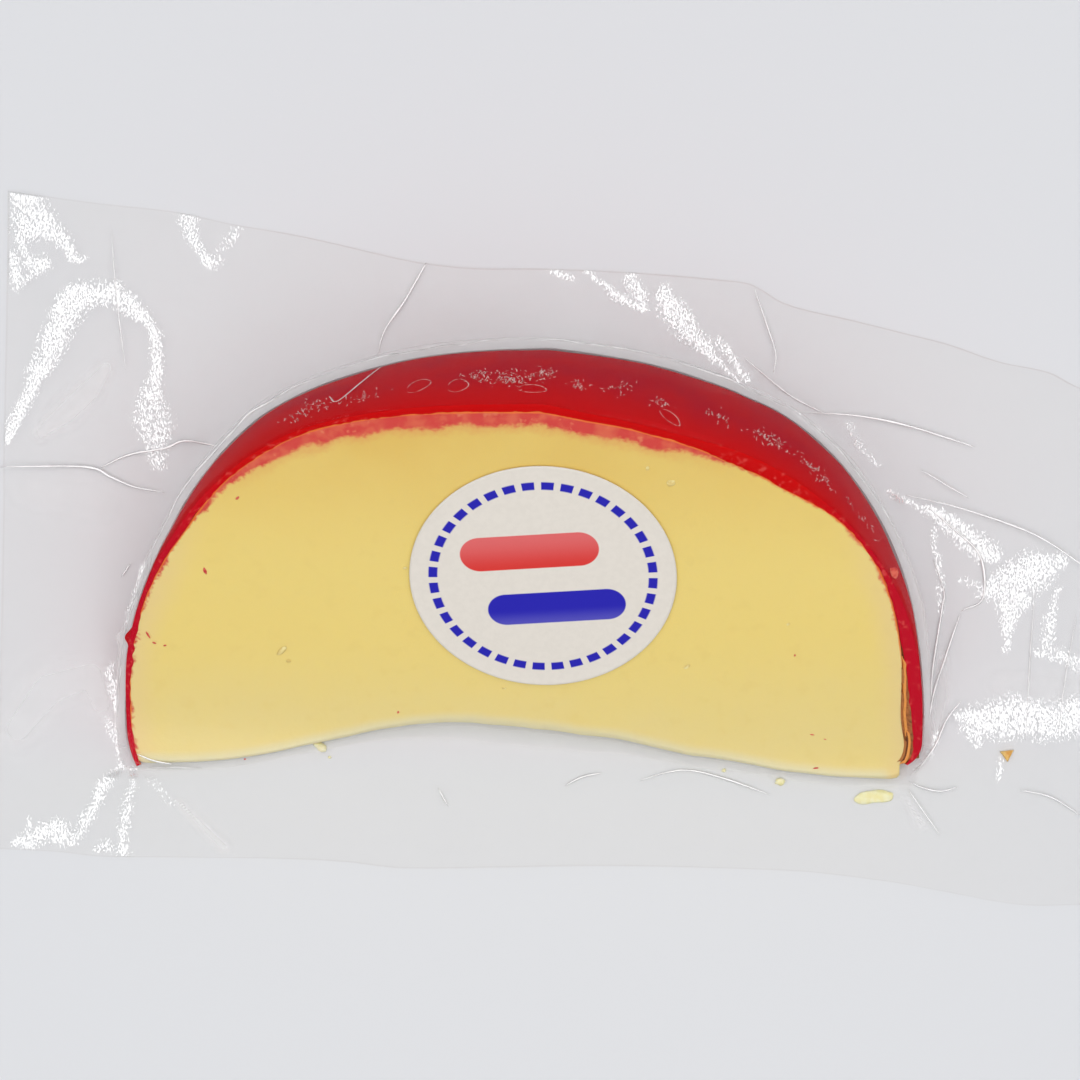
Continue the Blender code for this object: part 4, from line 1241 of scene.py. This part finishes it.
TABLE = srgb(222, 223, 226)
EYE_X, EYE_Y, EYE_HEIGHT = -0.0051, 0.00165, 0.75
FIELD = 0.2090
RING = ((0, 1.0), (45, 0.85), (90, 0.8), (135, 0.85), (180, 1.0), (225, 1.2), (270, 1.35), (315, 1.2))
RING_SIZE, RING_TILT = 0.6, math.radians(35)
OVERHEAD, OVERHEAD_SIZE = 18.2, 2.0
LIGHT_AWAY, AMBIENT = 1.8, 0.42


def make_stage():
    mesh = bpy.data.meshes.new("table")
    mesh.from_pydata([(-4, -4, 0), (4, -4, 0), (4, 4, 0), (-4, 4, 0)], [], [(0, 1, 2, 3)])
    table = bpy.data.objects.new("table", mesh)
    bpy.context.scene.collection.objects.link(table)
    n = Nodes("pale table")
    shader = n.add("ShaderNodeBsdfPrincipled", {"Base Color": TABLE, "Roughness": 0.7, "Specular IOR Level": 0.2})
    mesh.materials.append(n.finish(shader.outputs[0]))

    camera = bpy.data.objects.new("camera", bpy.data.cameras.new("camera"))
    camera.data.sensor_width = 36
    camera.data.lens = 36 * EYE_HEIGHT / FIELD
    camera.data.clip_start = 0.01
    camera.location = (EYE_X, EYE_Y, EYE_HEIGHT)
    bpy.context.scene.collection.objects.link(camera)
    bpy.context.scene.camera = camera

    lamps = [(f"softbox_{azimuth}", azimuth, RING_TILT, RING_SIZE, power) for azimuth, power in RING]
    for name, azimuth, tilt, size, power in [*lamps, ("overhead", 0, 0.0, OVERHEAD_SIZE, OVERHEAD)]:
        light = bpy.data.lights.new(name, "AREA")
        light.size = size
        light.energy = power
        obj = bpy.data.objects.new(name, light)
        turn = math.radians(azimuth)
        direction = Vector((math.cos(turn) * math.sin(tilt), math.sin(turn) * math.sin(tilt), math.cos(tilt)))
        obj.location = direction * LIGHT_AWAY
        obj.rotation_euler = direction.to_track_quat("Z", "Y").to_euler()
        obj.visible_camera = False
        bpy.context.scene.collection.objects.link(obj)

    world = bpy.data.worlds.new("studio")
    world.use_nodes = True
    background = world.node_tree.nodes["Background"]
    background.inputs["Color"].default_value = (0.96, 0.97, 0.988, 1)
    background.inputs["Strength"].default_value = AMBIENT
    bpy.context.scene.world = world
    bpy.context.scene.view_settings.view_transform = "Standard"


make_paste()
make_wax()
film = make_film()
film_tree = tree_of(film)
make_label(film_tree)
make_rind()
make_flecks()
make_crumbs()
make_creases(film_tree)
make_air(film_tree)
make_stage()
